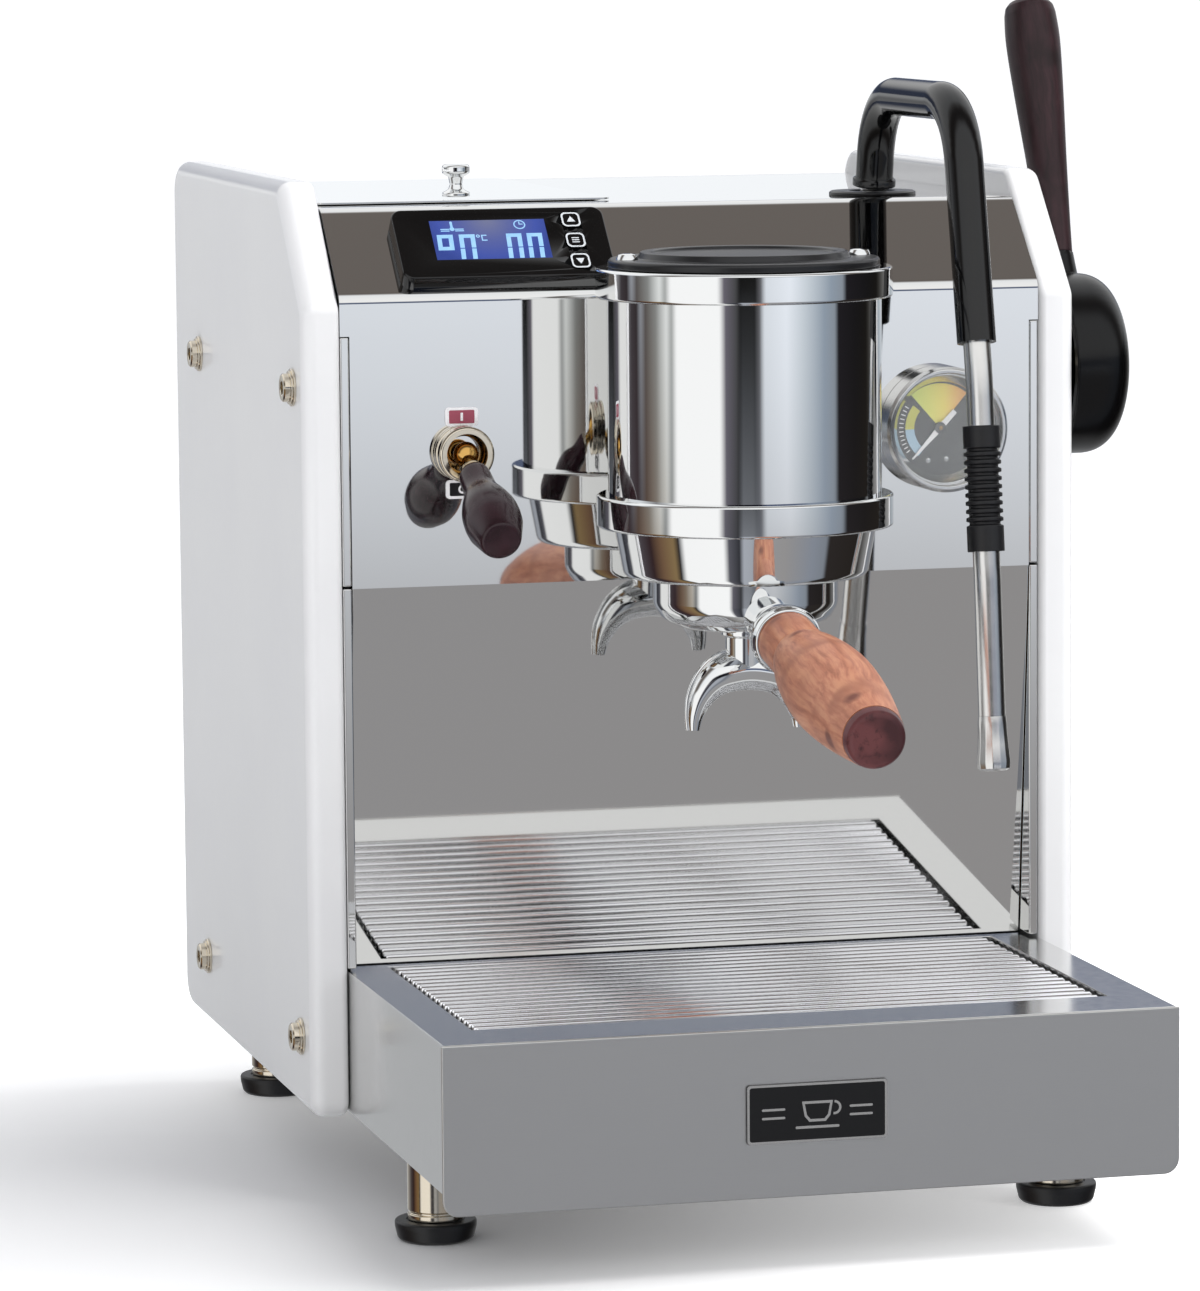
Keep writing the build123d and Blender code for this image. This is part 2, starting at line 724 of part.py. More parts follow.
# Bayonet bell: its inner lip has two gaps that let the portafilter's ears up
lip_r = 37.0
ear_r = 39.8
bell_bore = 40.4
with BuildPart() as group_bell:
    bell = [(lip_r, bell_bottom), (bell_r - 4.4, bell_bottom), (bell_r - 3.4, bell_bottom + 1.4)]
    bell += [(bell_r, low_ring_z - 0.05), (30, low_ring_z - 0.05), (30, 268.2)]
    bell += [(bell_bore, 268.2), (bell_bore, 253.6), (lip_r, 253.6)]
    add(turned(group_axis, bell))
    with BuildSketch(level(bell_bottom)):
        with Locations(Location((group_x, group_y, 0), (0, 0, 45))):
            Rectangle(2 * bell_bore, 27)
    extrude(amount=2.4, mode=Mode.SUBTRACT)
group_bell.part.label = "group_bell"
export_step(group_bell.part, "parts/group_bell.step")

with BuildPart() as group_gasket:
    add(turned(group_axis, [(30, 262.3), (40, 262.3), (40, 268.1), (30, 268.1)]))
group_gasket.part.label = "group_gasket"
export_step(group_gasket.part, "parts/group_gasket.step")

with BuildPart() as shower_screen:
    add(turned(group_axis, [(0, 262.6), (29, 263.4), (29.8, 264.6), (29.8, 268), (29, 268), (29, 264.8), (0, 264)]))
shower_screen.part.label = "shower_screen"
export_step(shower_screen.part, "parts/shower_screen.step")

# ---------------------------------------------------------------- portafilter
yaw = radians(handle_yaw)
outward = Vector(-sin(yaw), -cos(yaw), 0)
rightward = Vector(cos(yaw), -sin(yaw), 0)
tip = radians(handle_droop)
along_handle = outward * cos(tip) - Vector(0, 0, sin(tip))
bowl_axis = spindle(group_x, group_y, 0, (0, 0, 1), tuple(outward))
handle_axis = spindle(group_x, group_y, handle_z, tuple(along_handle), tuple(rightward))
bowl_frame = Plane(origin=(middle_x + group_x, face_y + group_y, 0), x_dir=rightward, z_dir=(0, 0, 1))
basket_seat = 260.3
with BuildPart() as portafilter_bowl:
    bowl = [(3, bowl_floor), (14, bowl_floor), (26, bowl_floor + 1.6), (32.5, bowl_floor + 4.8)]
    bowl += [(bowl_r, bowl_floor + 10), (bowl_r, bowl_top), (34.6, bowl_top), (34.6, basket_seat)]
    bowl += [(31.4, basket_seat), (31.4, bowl_floor + 9), (28, bowl_floor + 5), (3, bowl_floor + 3)]
    add(turned(bowl_axis, bowl))
    neck = [(0, 33), (8.6, 33), (8.6, 46), (9.4, 52), (12.2, 59), (13.3, 63), (13.3, 66), (12.6, handle_start)]
    neck += [(0, handle_start)]
    add(turned(handle_axis, neck))
    with BuildSketch(bowl_frame.offset(254)):
        Rectangle(2 * ear_r, 23)
        Circle(bowl_r - 1, mode=Mode.SUBTRACT)
    extrude(amount=4.2)
    trim = [(ear_r, 250), (60, 250), (60, 262), (ear_r, 262)]
    add(turned(bowl_axis, trim), mode=Mode.SUBTRACT)
    add(turned(bowl_axis, [(0, bowl_floor + 5), (28, bowl_floor + 5), (31.4, bowl_floor + 9), (31.4, 262), (0, 262)]),
        mode=Mode.SUBTRACT)
portafilter_bowl.part.label = "portafilter_bowl"
export_step(portafilter_bowl.part, "parts/portafilter_bowl.step")

with BuildPart() as filter_basket:
    basket = [(0, 241), (27, 241), (30.2, 243.5), (31.2, basket_seat + 0.1), (34.4, basket_seat + 0.1)]
    basket += [(34.4, bowl_top - 0.4), (30.4, bowl_top - 0.4), (29.2, 244.2), (26.4, 242), (0, 242)]
    add(turned(bowl_axis, basket))
filter_basket.part.label = "filter_basket"
export_step(filter_basket.part, "parts/filter_basket.step")

# Twin spout: a threaded boss with two open troughs that curve out and down
spout_top = 220.5
spout_bend = 18.0
spout_tail = 11.0
spout_turn = 80.0
bend_x = 2.0
trough_r = 6.6
trough_wall = 1.3
with BuildPart() as double_spout:
    boss = [(3, 218), (8, 218), (8, 227.4), (9.6, 228), (9.6, bowl_floor - 0.03), (3, bowl_floor - 0.03)]
    add(turned(bowl_axis, boss))
    for side in (-1, 1):
        middle = bowl_frame.from_local_coords((0, 0, spout_top))
        with BuildSketch(Plane(origin=middle, x_dir=outward, z_dir=rightward)) as trough:
            Circle(trough_r)
            Circle(trough_r - trough_wall, mode=Mode.SUBTRACT)
            with Locations((0, -trough_r)):
                Rectangle(4 * trough_r, 2 * trough_r + 1.5, mode=Mode.SUBTRACT)
        extrude(amount=side * bend_x)
        centre = bowl_frame.from_local_coords((side * bend_x, 0, spout_top - spout_bend))
        mouth = trough.sketch.moved(Location(rightward * side * bend_x))
        bend_axis = Axis(centre, outward * -side)
        revolve(mouth, axis=bend_axis, revolution_arc=spout_turn)
        fall = rightward * side * cos(radians(spout_turn)) - Vector(0, 0, sin(radians(spout_turn)))
        extrude(mouth.rotate(bend_axis, spout_turn), amount=spout_tail, dir=fall)
double_spout.part.label = "double_spout"
export_step(double_spout.part, "parts/double_spout.step")

# Turned hardwood handle with a crease after its straight neck, then a bulge that tapers to the end
with BuildPart() as portafilter_handle:
    with BuildSketch(handle_axis):
        with BuildLine():
            straight = Polyline((0, handle_start + 0.03), (11.4, handle_start + 0.03), (11.8, 92))
            bulge = Spline((11.8, 92), (14.8, 108), (16.9, 130), (16.6, 150), (14.6, 172), (11.6, 194))
            Polyline((11.6, 194), (8, 194), (8, 188), (0, 188), (0, handle_start + 0.03))
        make_face()
    revolve(axis=Axis(handle_axis.origin, handle_axis.y_dir))
portafilter_handle.part.label = "portafilter_handle"
export_step(portafilter_handle.part, "parts/portafilter_handle.step")

with BuildPart() as handle_end_cap:
    end_cap = [(0, 188.03), (7.9, 188.03), (7.9, 194.03), (11.5, 194.03), (11.0, 197.4), (9.6, handle_end)]
    end_cap += [(0, handle_end + 0.6)]
    add(turned(handle_axis, end_cap))
handle_end_cap.part.label = "handle_end_cap"
export_step(handle_end_cap.part, "parts/handle_end_cap.step")

# ---------------------------------------------------------------- steam wand
wand_plane = section(wand_x)
rear_top = (60.5, arch_z)
front_top = (-47.5, arch_z)
knee = (-71.5, 326.0)
ankle = (-81.6, 250.0)
wand_foot = (-87.6, 195.0)
arm_start = (wand_y - (wand_y - rear_top[0]) * (393.4 - ball_z) / (arch_z - ball_z), 393.4)
arm_share = (arch_z - 338.0) / (arch_z - knee[1])
arm_finish = (front_top[0] + (knee[0] - front_top[0]) * arm_share, 338.0)
knee_radius = 190.0
ankle_radius = 300.0

wand_route = [(wand_y, ball_z), rear_top, front_top, knee, ankle, wand_foot]
wand_radii = [arch_radius, arch_radius, knee_radius, ankle_radius]
wand_ball_r = 8.5
with BuildPart() as wand_tube:
    add(tube(wand_plane, wand_route, wand_radii, wand_tube_r, 3.6))
    with Locations((middle_x + wand_x, face_y + wand_y, ball_z)):
        Sphere(wand_ball_r)
wand_tube.part.label = "wand_tube"
export_step(wand_tube.part, "parts/wand_tube.step")

rear_leg = (0, rear_top[0] - wand_y, arch_z - ball_z)
front_leg = (0, ankle[0] - knee[0], ankle[1] - knee[1])
foot_leg = (0, wand_foot[0] - ankle[0], wand_foot[1] - ankle[1])
sleeve_bore = wand_tube_r + 0.05
with BuildPart() as wand_arm_sleeve:
    arm_route = [arm_start, rear_top, front_top, arm_finish]
    add(tube(wand_plane, arm_route, [arch_radius, arch_radius], arm_r, sleeve_bore))
    collar_axis = spindle(wand_x, arm_start[0], arm_start[1], rear_leg, (1, 0, 0))
    add(turned(collar_axis, [(sleeve_bore, 0), (8.8, 0), (8.8, 2.4), (arm_r, 3.6), (sleeve_bore, 3.6)]))
wand_arm_sleeve.part.label = "wand_arm_sleeve"
export_step(wand_arm_sleeve.part, "parts/wand_arm_sleeve.step")

# Ribbed rubber grip on the lower leg, drawn from the knee down
grip_top = 20.0
grip_length = 48.5
rib_count = 10
grip_axis = spindle(wand_x, knee[0], knee[1], front_leg, (1, 0, 0))
ribbed = [(sleeve_bore, grip_top), (7.2, grip_top), (7.2, grip_top + 8.5)]
rib_pitch = (grip_length - 17) / rib_count
for index in range(rib_count):
    rib = grip_top + 8.5 + index * rib_pitch
    ribbed += [(6.2, rib + 0.2), (6.2, rib + 0.34 * rib_pitch), (7.2, rib + 0.5 * rib_pitch), (7.2, rib + rib_pitch)]
ribbed += [(7.2, grip_top + grip_length), (sleeve_bore, grip_top + grip_length)]
with BuildPart() as wand_grip_sleeve:
    add(turned(grip_axis, ribbed))
wand_grip_sleeve.part.label = "wand_grip_sleeve"
export_step(wand_grip_sleeve.part, "parts/wand_grip_sleeve.step")

tip_axis = spindle(wand_x, wand_foot[0], wand_foot[1], foot_leg, (1, 0, 0))
with BuildPart() as wand_tip:
    add(turned(tip_axis, [(0, 8), (3.4, 8), (3.4, -6), (3.5, -6), (3.5, 0.05), (5.6, 0.05), (6.0, 10), (6.7, 18),
                          (6.3, 20.5), (3, 21.4), (0, 21.4)]))
    with BuildSketch(Plane(origin=tip_axis.from_local_coords((0, 22, 0)), x_dir=(1, 0, 0), z_dir=tip_axis.y_dir)):
        with PolarLocations(3.2, 4):
            Circle(0.8)
    extrude(amount=-14, mode=Mode.SUBTRACT)
wand_tip.part.label = "wand_tip"
export_step(wand_tip.part, "parts/wand_tip.step")

joint_axis = spindle(wand_x, wand_y, 0, (0, 0, 1), (1, 0, 0))
with BuildPart() as wand_grommet:
    grommet = [(9.4, deck_z - sheet), (grommet_hole_r - 0.1, deck_z - sheet), (grommet_hole_r - 0.1, deck_z + 0.03)]
    grommet += [(17.6, deck_z + 0.03), (17.6, deck_z + 1), (16.6, deck_z + 1.6), (9.4, deck_z + 1.6)]
    add(turned(joint_axis, grommet))
wand_grommet.part.label = "wand_grommet"
export_step(wand_grommet.part, "parts/wand_grommet.step")

socket_floor = 366.0
with BuildPart() as wand_socket:
    cup = [(3.2, socket_floor), (15, socket_floor), (15, deck_z - sheet - 0.05), (12.1, deck_z - sheet - 0.05)]
    cup += [(12.1, socket_floor + 3), (3.2, socket_floor + 3)]
    add(turned(joint_axis, cup))
wand_socket.part.label = "wand_socket"
export_step(wand_socket.part, "parts/wand_socket.step")

with BuildPart() as wand_swivel_ring:
    add(turned(joint_axis, [(9, 376), (11.7, 376), (11.7, 387.8), (9, 387.8)]))
wand_swivel_ring.part.label = "wand_swivel_ring"
export_step(wand_swivel_ring.part, "parts/wand_swivel_ring.step")

# ---------------------------------------------------------------- steam lever
hub_axis = spindle(outer_half, hub_y, hub_z, (1, 0, 0), (0, 1, 0))
spindle_r = 5.0
lean = radians(lever_lean)
lever_axis = spindle(lever_x, hub_y, hub_z, (0, sin(lean), cos(lean)), (1, 0, 0))
with BuildPart() as steam_hub:
    with BuildSketch(hub_axis):
        with BuildLine():
            Polyline((32, hub_gap), (hub_r - 1, hub_gap), (hub_r, hub_gap + 1), (hub_r, 12))
            Spline((hub_r, 12), (34.2, 20.5), (27, 25.8), (14, 28.4), (0, hub_reach),
                   tangents=[(0, 1), (-1, 0)])
            Polyline((0, hub_reach), (0, 23), (spindle_r + 0.03, 23), (spindle_r + 0.03, 6), (10, 6), (12, 20),
                     (24, 20), (32, 15), (32, hub_gap))
        make_face()
    revolve(axis=Axis(hub_axis.origin, hub_axis.y_dir))
    add(turned(lever_axis, [(0, 34), (7.6, 34), (7.2, 39), (6.6, lever_start), (0, lever_start)]))
steam_hub.part.label = "steam_hub"
export_step(steam_hub.part, "parts/steam_hub.step")

with BuildPart() as steam_spindle:
    add(turned(hub_axis, [(0, -38), (spindle_r, -38), (spindle_r, 22.9), (0, 22.9)]))
steam_spindle.part.label = "steam_spindle"
export_step(steam_spindle.part, "parts/steam_spindle.step")

with BuildPart() as steam_lever_handle:
    with BuildSketch(lever_axis):
        with BuildLine():
            Spline((6.3, lever_start + 0.03), (6.9, 60), (8.3, 86), (10.3, 116), (11.2, 137), (10.5, 150))
            Polyline((10.5, 150), (8.4, lever_end), (0, lever_end + 0.8), (0, lever_start + 0.03),
                     (6.3, lever_start + 0.03))
        make_face()
    revolve(axis=Axis(lever_axis.origin, lever_axis.y_dir))
steam_lever_handle.part.label = "steam_lever_handle"
export_step(steam_lever_handle.part, "parts/steam_lever_handle.step")

with BuildPart() as steam_valve:
    add(turned(hub_axis, [(0, -62), (13, -62), (13, -24), (5.3, -24), (5.3, -39), (0, -39)]))
steam_valve.part.label = "steam_valve"
export_step(steam_valve.part, "parts/steam_valve.step")

# ---------------------------------------------------------------- inside: boiler, heater, pump, valve, pipes
boiler_x = 62.0
boiler_y = 178.0
boiler_r = 48.0
boiler_low = 78.0
boiler_high = 226.0
boiler_axis = spindle(boiler_x, boiler_y, 0, (0, 0, 1), (1, 0, 0))
with BuildPart() as steam_boiler:
    wall = 2.0
    outline = [(22, boiler_low), (boiler_r - 10, boiler_low), (boiler_r, boiler_low + 10)]
    outline += [(boiler_r, boiler_high - 14), (boiler_r - 16, boiler_high), (4, boiler_high)]
    outline += [(4, boiler_high - wall), (boiler_r - 17, boiler_high - wall), (boiler_r - wall, boiler_high - 15)]
    outline += [(boiler_r - wall, boiler_low + 11), (boiler_r - 11, boiler_low + wall), (22, boiler_low + wall)]
    add(turned(boiler_axis, outline))
steam_boiler.part.label = "steam_boiler"
export_step(steam_boiler.part, "parts/steam_boiler.step")

with BuildPart() as heating_element:
    add(turned(boiler_axis, [(0, 68), (30, 68), (30, 77.9), (21.8, 77.9), (21.8, 84), (0, 84)]))
    heater_plane = section(boiler_x)
    legs = [(boiler_y - 12, 83), (boiler_y - 12, 160), (boiler_y + 12, 160), (boiler_y + 12, 83)]
    add(tube(heater_plane, legs, [11.9, 11.9], 4))
heating_element.part.label = "heating_element"
export_step(heating_element.part, "parts/heating_element.step")

with BuildPart() as pump:
    add(block((-112, 150, 40), (-60, 200, 92)))
    add(turned(spindle(-86, 175, 66, (0, -1, 0), (1, 0, 0)), [(0, 20), (16, 20), (16, 62), (7, 66), (7, 78), (0, 78)]))
pump.part.label = "pump"
export_step(pump.part, "parts/pump.step")

with BuildPart() as solenoid_valve:
    add(block((group_x - 16, 34, 296), (group_x + 16, 62, 324)))
    add(block((group_x - 12, 36, 324), (group_x + 12, 60, 356)))
solenoid_valve.part.label = "solenoid_valve"
export_step(solenoid_valve.part, "parts/solenoid_valve.step")

pipe_r = 3.0
with BuildPart() as pipes:
    add(tube(section(boiler_x), [(boiler_y, boiler_high + 0.1), (boiler_y, 300), (70, 300), (70, 344)], [20, 20], pipe_r))
    add(tube(upright(48), [(group_x + 16.1, 308), (45, 308), (45, 215), (58, 215)], [12, 6], pipe_r))
    add(tube(section(wand_x), [(wand_y, socket_floor - 0.1), (wand_y, 346), (50.5, 346), (50.5, 336)], [9, 5], pipe_r))
    add(tube(section(-86), [(96.9, 66), (85, 66), (85, 130), (110, 130)], [10, 10], pipe_r))
pipes.part.label = "pipes"
export_step(pipes.part, "parts/pipes.step")
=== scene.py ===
"""The looks of a home espresso machine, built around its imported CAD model."""

import math

import bmesh
import bpy
from mathutils import Matrix, Vector


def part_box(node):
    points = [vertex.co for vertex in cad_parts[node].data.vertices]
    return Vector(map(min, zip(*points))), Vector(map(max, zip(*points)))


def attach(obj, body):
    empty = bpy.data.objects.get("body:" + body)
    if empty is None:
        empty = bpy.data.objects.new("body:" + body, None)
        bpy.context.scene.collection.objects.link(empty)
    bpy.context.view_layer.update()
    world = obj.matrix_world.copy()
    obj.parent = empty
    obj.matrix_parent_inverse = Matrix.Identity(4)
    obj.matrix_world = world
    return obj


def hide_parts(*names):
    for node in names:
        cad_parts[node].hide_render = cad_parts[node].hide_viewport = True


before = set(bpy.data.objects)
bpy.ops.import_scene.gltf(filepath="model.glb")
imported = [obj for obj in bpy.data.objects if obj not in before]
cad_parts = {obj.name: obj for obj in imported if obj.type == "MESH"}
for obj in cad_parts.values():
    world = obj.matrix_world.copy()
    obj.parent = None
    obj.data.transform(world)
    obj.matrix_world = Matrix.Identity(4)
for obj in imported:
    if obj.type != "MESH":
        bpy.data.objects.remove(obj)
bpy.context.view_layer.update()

# ------------------------------------------------------------------ studio
# A pale floor, soft light from above and from the right, and a studio whose cards and dark
# corners are what the polished metal shows. The cards are only in the world, by direction.
MM = 0.001
WHITE_FLOOR = "#f6f6f6"
SHADOW_SPOT = (-0.25, -0.02, 0.0)


def linear(code):
    """An sRGB hex colour as the linear colour that nodes take."""
    parts = [int(code[i : i + 2], 16) / 255 for i in (1, 3, 5)]
    return (*(c / 12.92 if c <= 0.04045 else ((c + 0.055) / 1.055) ** 2.4 for c in parts), 1.0)


def feed(node, inputs):
    """Sets a node's inputs by name or number, and links those that are given a socket."""
    for name, value in inputs.items():
        if isinstance(value, bpy.types.NodeSocket):
            node.id_data.links.new(value, node.inputs[name])
        else:
            node.inputs[name].default_value = value


def add_node(tree, kind, inputs, stops=None, **settings):
    """Adds a node of the tree's own family with its settings, its inputs and, for a ramp, its stops."""
    node = tree.nodes.new(("ShaderNode" if tree.type == "SHADER" else "GeometryNode") + kind)
    for name, value in settings.items():
        setattr(node, name, value)
    feed(node, inputs)
    if stops:
        ramp = node.color_ramp
        while len(ramp.elements) < len(stops):
            ramp.elements.new(0.5)
        for element, (place, code) in zip(ramp.elements, stops):
            element.position = place
            element.color = linear(code)
    return node


def by_heading(stops):
    """Ramp stops from headings in degrees, where 0 is straight out of the machine's front."""
    return [(heading / 360 + 0.5, code) for heading, code in stops]


# What stands around the machine, by heading: below the horizon, level with it and above it
low_cards = by_heading([
    (-170, "#b9bbbd"), (-130, "#4f4a4f"), (-113, "#332527"), (-100, "#6f5642"), (-86, "#86704f"),
    (-80, "#26262a"), (-74, "#fdfdfd"), (-36, "#ffffff"), (-31, "#5a5a62"), (-21, "#34353a"),
    (-17, "#a9adb6"), (-9, "#a4a8b0"), (-4, "#777b84"), (3, "#99999b"), (22, "#979595"), (50, "#868c97"),
    (64, "#7d838c"), (68, "#2d2928"), (112, "#26221f"), (135, "#a0a0a0"), (170, "#c3c6c9"),
])
level_cards = by_heading([
    (-170, "#eef0f2"), (-132, "#e3e5e7"), (-126, "#292829"), (-118, "#292829"), (-113, "#b1b6be"),
    (-107, "#5a5a5b"), (-95, "#888a89"), (-84, "#e3e5e4"), (-79, "#a8aaa9"), (-74, "#ffffff"),
    (-36, "#ffffff"), (-31, "#6a6670"), (-22, "#4a4a4c"), (-19, "#161616"), (-7, "#1c1c1c"),
    (-3, "#606064"), (1, "#dfe4eb"), (20, "#edf2fa"), (35, "#ccd4dc"), (55, "#929eac"),
    (66, "#8b939d"), (70, "#201e22"), (108, "#121211"), (128, "#706f6c"), (140, "#e8ebee"),
    (170, "#f2f5f8"),
])
high_cards = by_heading([
    (-176, "#566079"), (-150, "#5e6880"), (-138, "#e3e6ea"), (-115, "#dfe2e6"), (-96, "#8a8a8c"),
    (-84, "#c9cbcd"), (-74, "#ffffff"), (-36, "#ffffff"), (-30, "#3a3a40"), (-20, "#15151a"),
    (-3, "#1c1e28"), (4, "#566079"), (28, "#5e6880"), (40, "#8792a3"), (66, "#7d8794"), (71, "#1b1a1e"),
    (105, "#161616"), (125, "#dfe3e8"), (138, "#e9ecf0"), (148, "#5e6880"), (176, "#566079"),
])
# Overhead, from the front edge of the ceiling to the wall behind the machine
ceiling = [(0.0, "#ffffff"), (0.28, "#f4f6f8"), (0.38, "#7d7875"), (0.43, "#635d59"), (0.50, "#6f6965"),
           (0.56, "#a9a6a4"), (0.63, "#f4f6f8"), (1.0, "#ffffff")]

world = bpy.data.worlds.new("studio")
world.use_nodes = True
tree = world.node_tree
tree.nodes.clear()
place = add_node(tree, "TexCoord", {})
axes = add_node(tree, "SeparateXYZ", {"Vector": place.outputs["Generated"]})
side_x, depth_y, height_z = axes.outputs
toward_front = add_node(tree, "Math", {0: depth_y, 1: -1.0}, operation="MULTIPLY")
heading = add_node(tree, "Math", {0: side_x, 1: toward_front.outputs[0]}, operation="ARCTAN2")
turn = add_node(tree, "Math", {0: heading.outputs[0], 1: 1 / math.tau, 2: 0.5}, operation="MULTIPLY_ADD")
behind = add_node(tree, "Math", {0: depth_y, 1: 0.0}, operation="MAXIMUM")
raised = add_node(tree, "Math", {0: behind.outputs[0], 1: -0.1, 2: height_z}, operation="MULTIPLY_ADD")
rise = [add_node(tree, "MapRange", {"Value": raised.outputs[0], "From Min": low, "From Max": high},
                 interpolation_type="SMOOTHSTEP").outputs["Result"]
        for low, high in ((-0.16, -0.055), (-0.02, 0.0), (0.10, 0.22))]
depth_share = add_node(tree, "Math", {0: depth_y, 1: 0.5, 2: 0.5}, operation="MULTIPLY_ADD")
colour = add_node(tree, "ValToRGB", {"Fac": turn.outputs[0]}, stops=low_cards).outputs[0]
for share, above in zip(rise, (level_cards, high_cards, ceiling)):
    factor = depth_share.outputs[0] if above is ceiling else turn.outputs[0]
    band = add_node(tree, "ValToRGB", {"Fac": factor}, stops=above)
    colour = add_node(tree, "Mix", {0: share, 6: colour, 7: band.outputs[0]}, data_type="RGBA").outputs[2]
cards = add_node(tree, "Background", {"Color": colour, "Strength": 1.08})
soft = add_node(tree, "Background", {"Color": linear("#f6f7fb"), "Strength": 0.66})
backdrop = add_node(tree, "Background", {"Color": linear("#ffffff"), "Strength": 1.05})
ray = add_node(tree, "LightPath", {})
shown = add_node(tree, "MixShader",
                 {0: ray.outputs["Is Camera Ray"], 1: soft.outputs[0], 2: backdrop.outputs[0]})
both = add_node(tree, "MixShader",
                {0: ray.outputs["Is Glossy Ray"], 1: shown.outputs[0], 2: cards.outputs[0]})
add_node(tree, "OutputWorld", {"Surface": both.outputs[0]})
bpy.context.scene.world = world
bpy.context.scene.view_settings.view_transform = "Standard"


def material(name):
    """A new material with its node tree, its surface shader and the place on the piece in its own metres."""
    made = bpy.data.materials.new(name)
    made.use_nodes = True
    tree = made.node_tree
    return made, tree, tree.nodes["Principled BSDF"], add_node(tree, "TexCoord", {}).outputs["Object"]


floor_glow_and_painted_shadow, tree, shader, where = material("matt_floor_paint")
grit = add_node(tree, "TexNoise", {"Vector": where, "Scale": 1 / (1.1 * MM), "Detail": 3.0})
dent = add_node(tree, "Bump", {"Height": grit.outputs[0], "Strength": 0.02, "Distance": 0.2 * MM})
# The floor glows white so that it reads bright, and the glow fades out towards SHADOW_SPOT by the machine's
# left side. This is a painted shadow laid over the cast one.
reach = add_node(tree, "VectorMath", {0: where, 1: SHADOW_SPOT}, operation="DISTANCE")
painted_shadow_fade = add_node(tree, "MapRange", {"Value": reach.outputs["Value"], "From Min": 0.1, "From Max": 0.45},
                  interpolation_type="SMOOTHSTEP")
lift = add_node(tree, "ValToRGB", {"Fac": painted_shadow_fade.outputs[0]}, stops=[(0.0, "#000000"), (1.0, WHITE_FLOOR)])
feed(shader, {"Base Color": linear(WHITE_FLOOR), "Roughness": 0.85, "Specular IOR Level": 0.1,
              "Emission Strength": 0.52, "Emission Color": lift.outputs[0], "Normal": dent.outputs[0]})
bpy.ops.mesh.primitive_plane_add(size=40)
floor = bpy.context.object
floor.name = "floor"
floor.data.materials.append(floor_glow_and_painted_shadow)
floor.visible_glossy = False

SOFTBOXES = [  # name, place, what it faces, size and power in metres and watts
    ("overhead", (0.7, -0.2, 1.9), (0.0, 0.0, 0.1), 1.5, 30.0),
    ("right_front", (1.6, -1.5, 1.1), (0.0, 0.0, 0.2), 1.1, 8.0),
    ("front_fill", (-0.9, -2.3, 1.1), (0.0, 0.0, 0.2), 1.3, 9.0),
]
for name, spot, aim, size, power in SOFTBOXES:
    lamp = bpy.data.lights.new(name, "AREA")
    lamp.shape = "DISK"
    lamp.size = size
    lamp.energy = power
    box = bpy.data.objects.new(name, lamp)
    box.location = spot
    box.rotation_euler = (Vector(aim) - Vector(spot)).to_track_quat("-Z", "Y").to_euler()
    box.visible_glossy = False
    bpy.context.scene.collection.objects.link(box)

# ------------------------------------------------------------------ camera
# A long lens a little above the machine and to its left, looking slightly down.
left_low, left_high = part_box("side_panel_left")
right_low, right_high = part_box("side_panel_right")
middle_x = (left_low.x + right_high.x) / 2
face_y = left_low.y


def at(x, y, z):
    """A point from millimetres: x from the body's middle, y from its panels' front edge, z from the table."""
    return Vector((middle_x + x * MM, face_y + y * MM, z * MM))


camera_data = bpy.data.cameras.new("camera")
camera_data.sensor_width = 36.0
camera_data.lens = 171.7
camera = bpy.data.objects.new("camera", camera_data)
ahead = Vector((0.24458, 0.96237, -0.11846)).normalized()
rightwards = Vector((0.96892, -0.24725, -0.00812)).normalized()
upwards = rightwards.cross(ahead)
turned_to = Matrix((rightwards, upwards, -ahead)).transposed()
camera.matrix_world = Matrix.Translation(at(-633.0, -2334.7, 504.8)) @ turned_to.to_4x4()
bpy.context.scene.collection.objects.link(camera)
bpy.context.scene.camera = camera

# ------------------------------------------------------------------ side panels
# Two thick boards, sprayed with gloss white lacquer and rubbed down at the rounded edges.
# The lacquer gives a soft body colour under a clear, slightly rippled coat.
LACQUER = "#e4e4e4"
LACQUER_SHADE = "#e1e1e2"
LACQUER_RIPPLE_MM = 9.0


def two_tone(name, patch_mm, stops, values, detail=2.0):
    """A material's parts, with a colour that drifts between tones in patches of a size."""
    made, tree, shader, where = material(name)
    patches = add_node(tree, "TexNoise", {"Vector": where, "Scale": 1 / (patch_mm * MM), "Detail": detail})
    tone = add_node(tree, "ValToRGB", {"Fac": patches.outputs[0]}, stops=stops)
    feed(shader, {"Base Color": tone.outputs[0], **values})
    return made, tree, shader, where


def dented(tree, where, grain_mm, strength, depth_mm, detail):
    """The normal of a surface with small dents, of a size and depth in mm."""
    grain = add_node(tree, "TexNoise", {"Vector": where, "Scale": 1 / (grain_mm * MM), "Detail": detail})
    dent = {"Height": grain.outputs[0], "Strength": strength, "Distance": depth_mm * MM}
    return add_node(tree, "Bump", dent).outputs[0]


lacquer, tree, shader, where = two_tone(
    "white_gloss_lacquer", 71.4, [(0.3, LACQUER_SHADE), (0.7, LACQUER)],
    {"Roughness": 0.4, "Coat Weight": 0.6, "Coat Roughness": 0.12, "Specular IOR Level": 0.35})
feed(shader, {"Coat Normal": dented(tree, where, LACQUER_RIPPLE_MM, 0.05, 0.4, 1.0)})


def smooth(piece, angle=32.0):
    """Shades a mesh smooth between its sharp edges, with flat faces left flat."""
    piece.data.shade_smooth()
    piece.data.set_sharp_from_angle(angle=math.radians(angle))
    weighted = piece.modifiers.new("even_normals", "WEIGHTED_NORMAL")
    weighted.keep_sharp = True
    return piece


def new_piece(name, shape):
    """An object at the origin from a bmesh whose vertices are in the frame's metres."""
    mesh = bpy.data.meshes.new(name)
    shape.to_mesh(mesh)
    shape.free()
    piece = bpy.data.objects.new(name, mesh)
    bpy.context.scene.collection.objects.link(piece)
    return piece


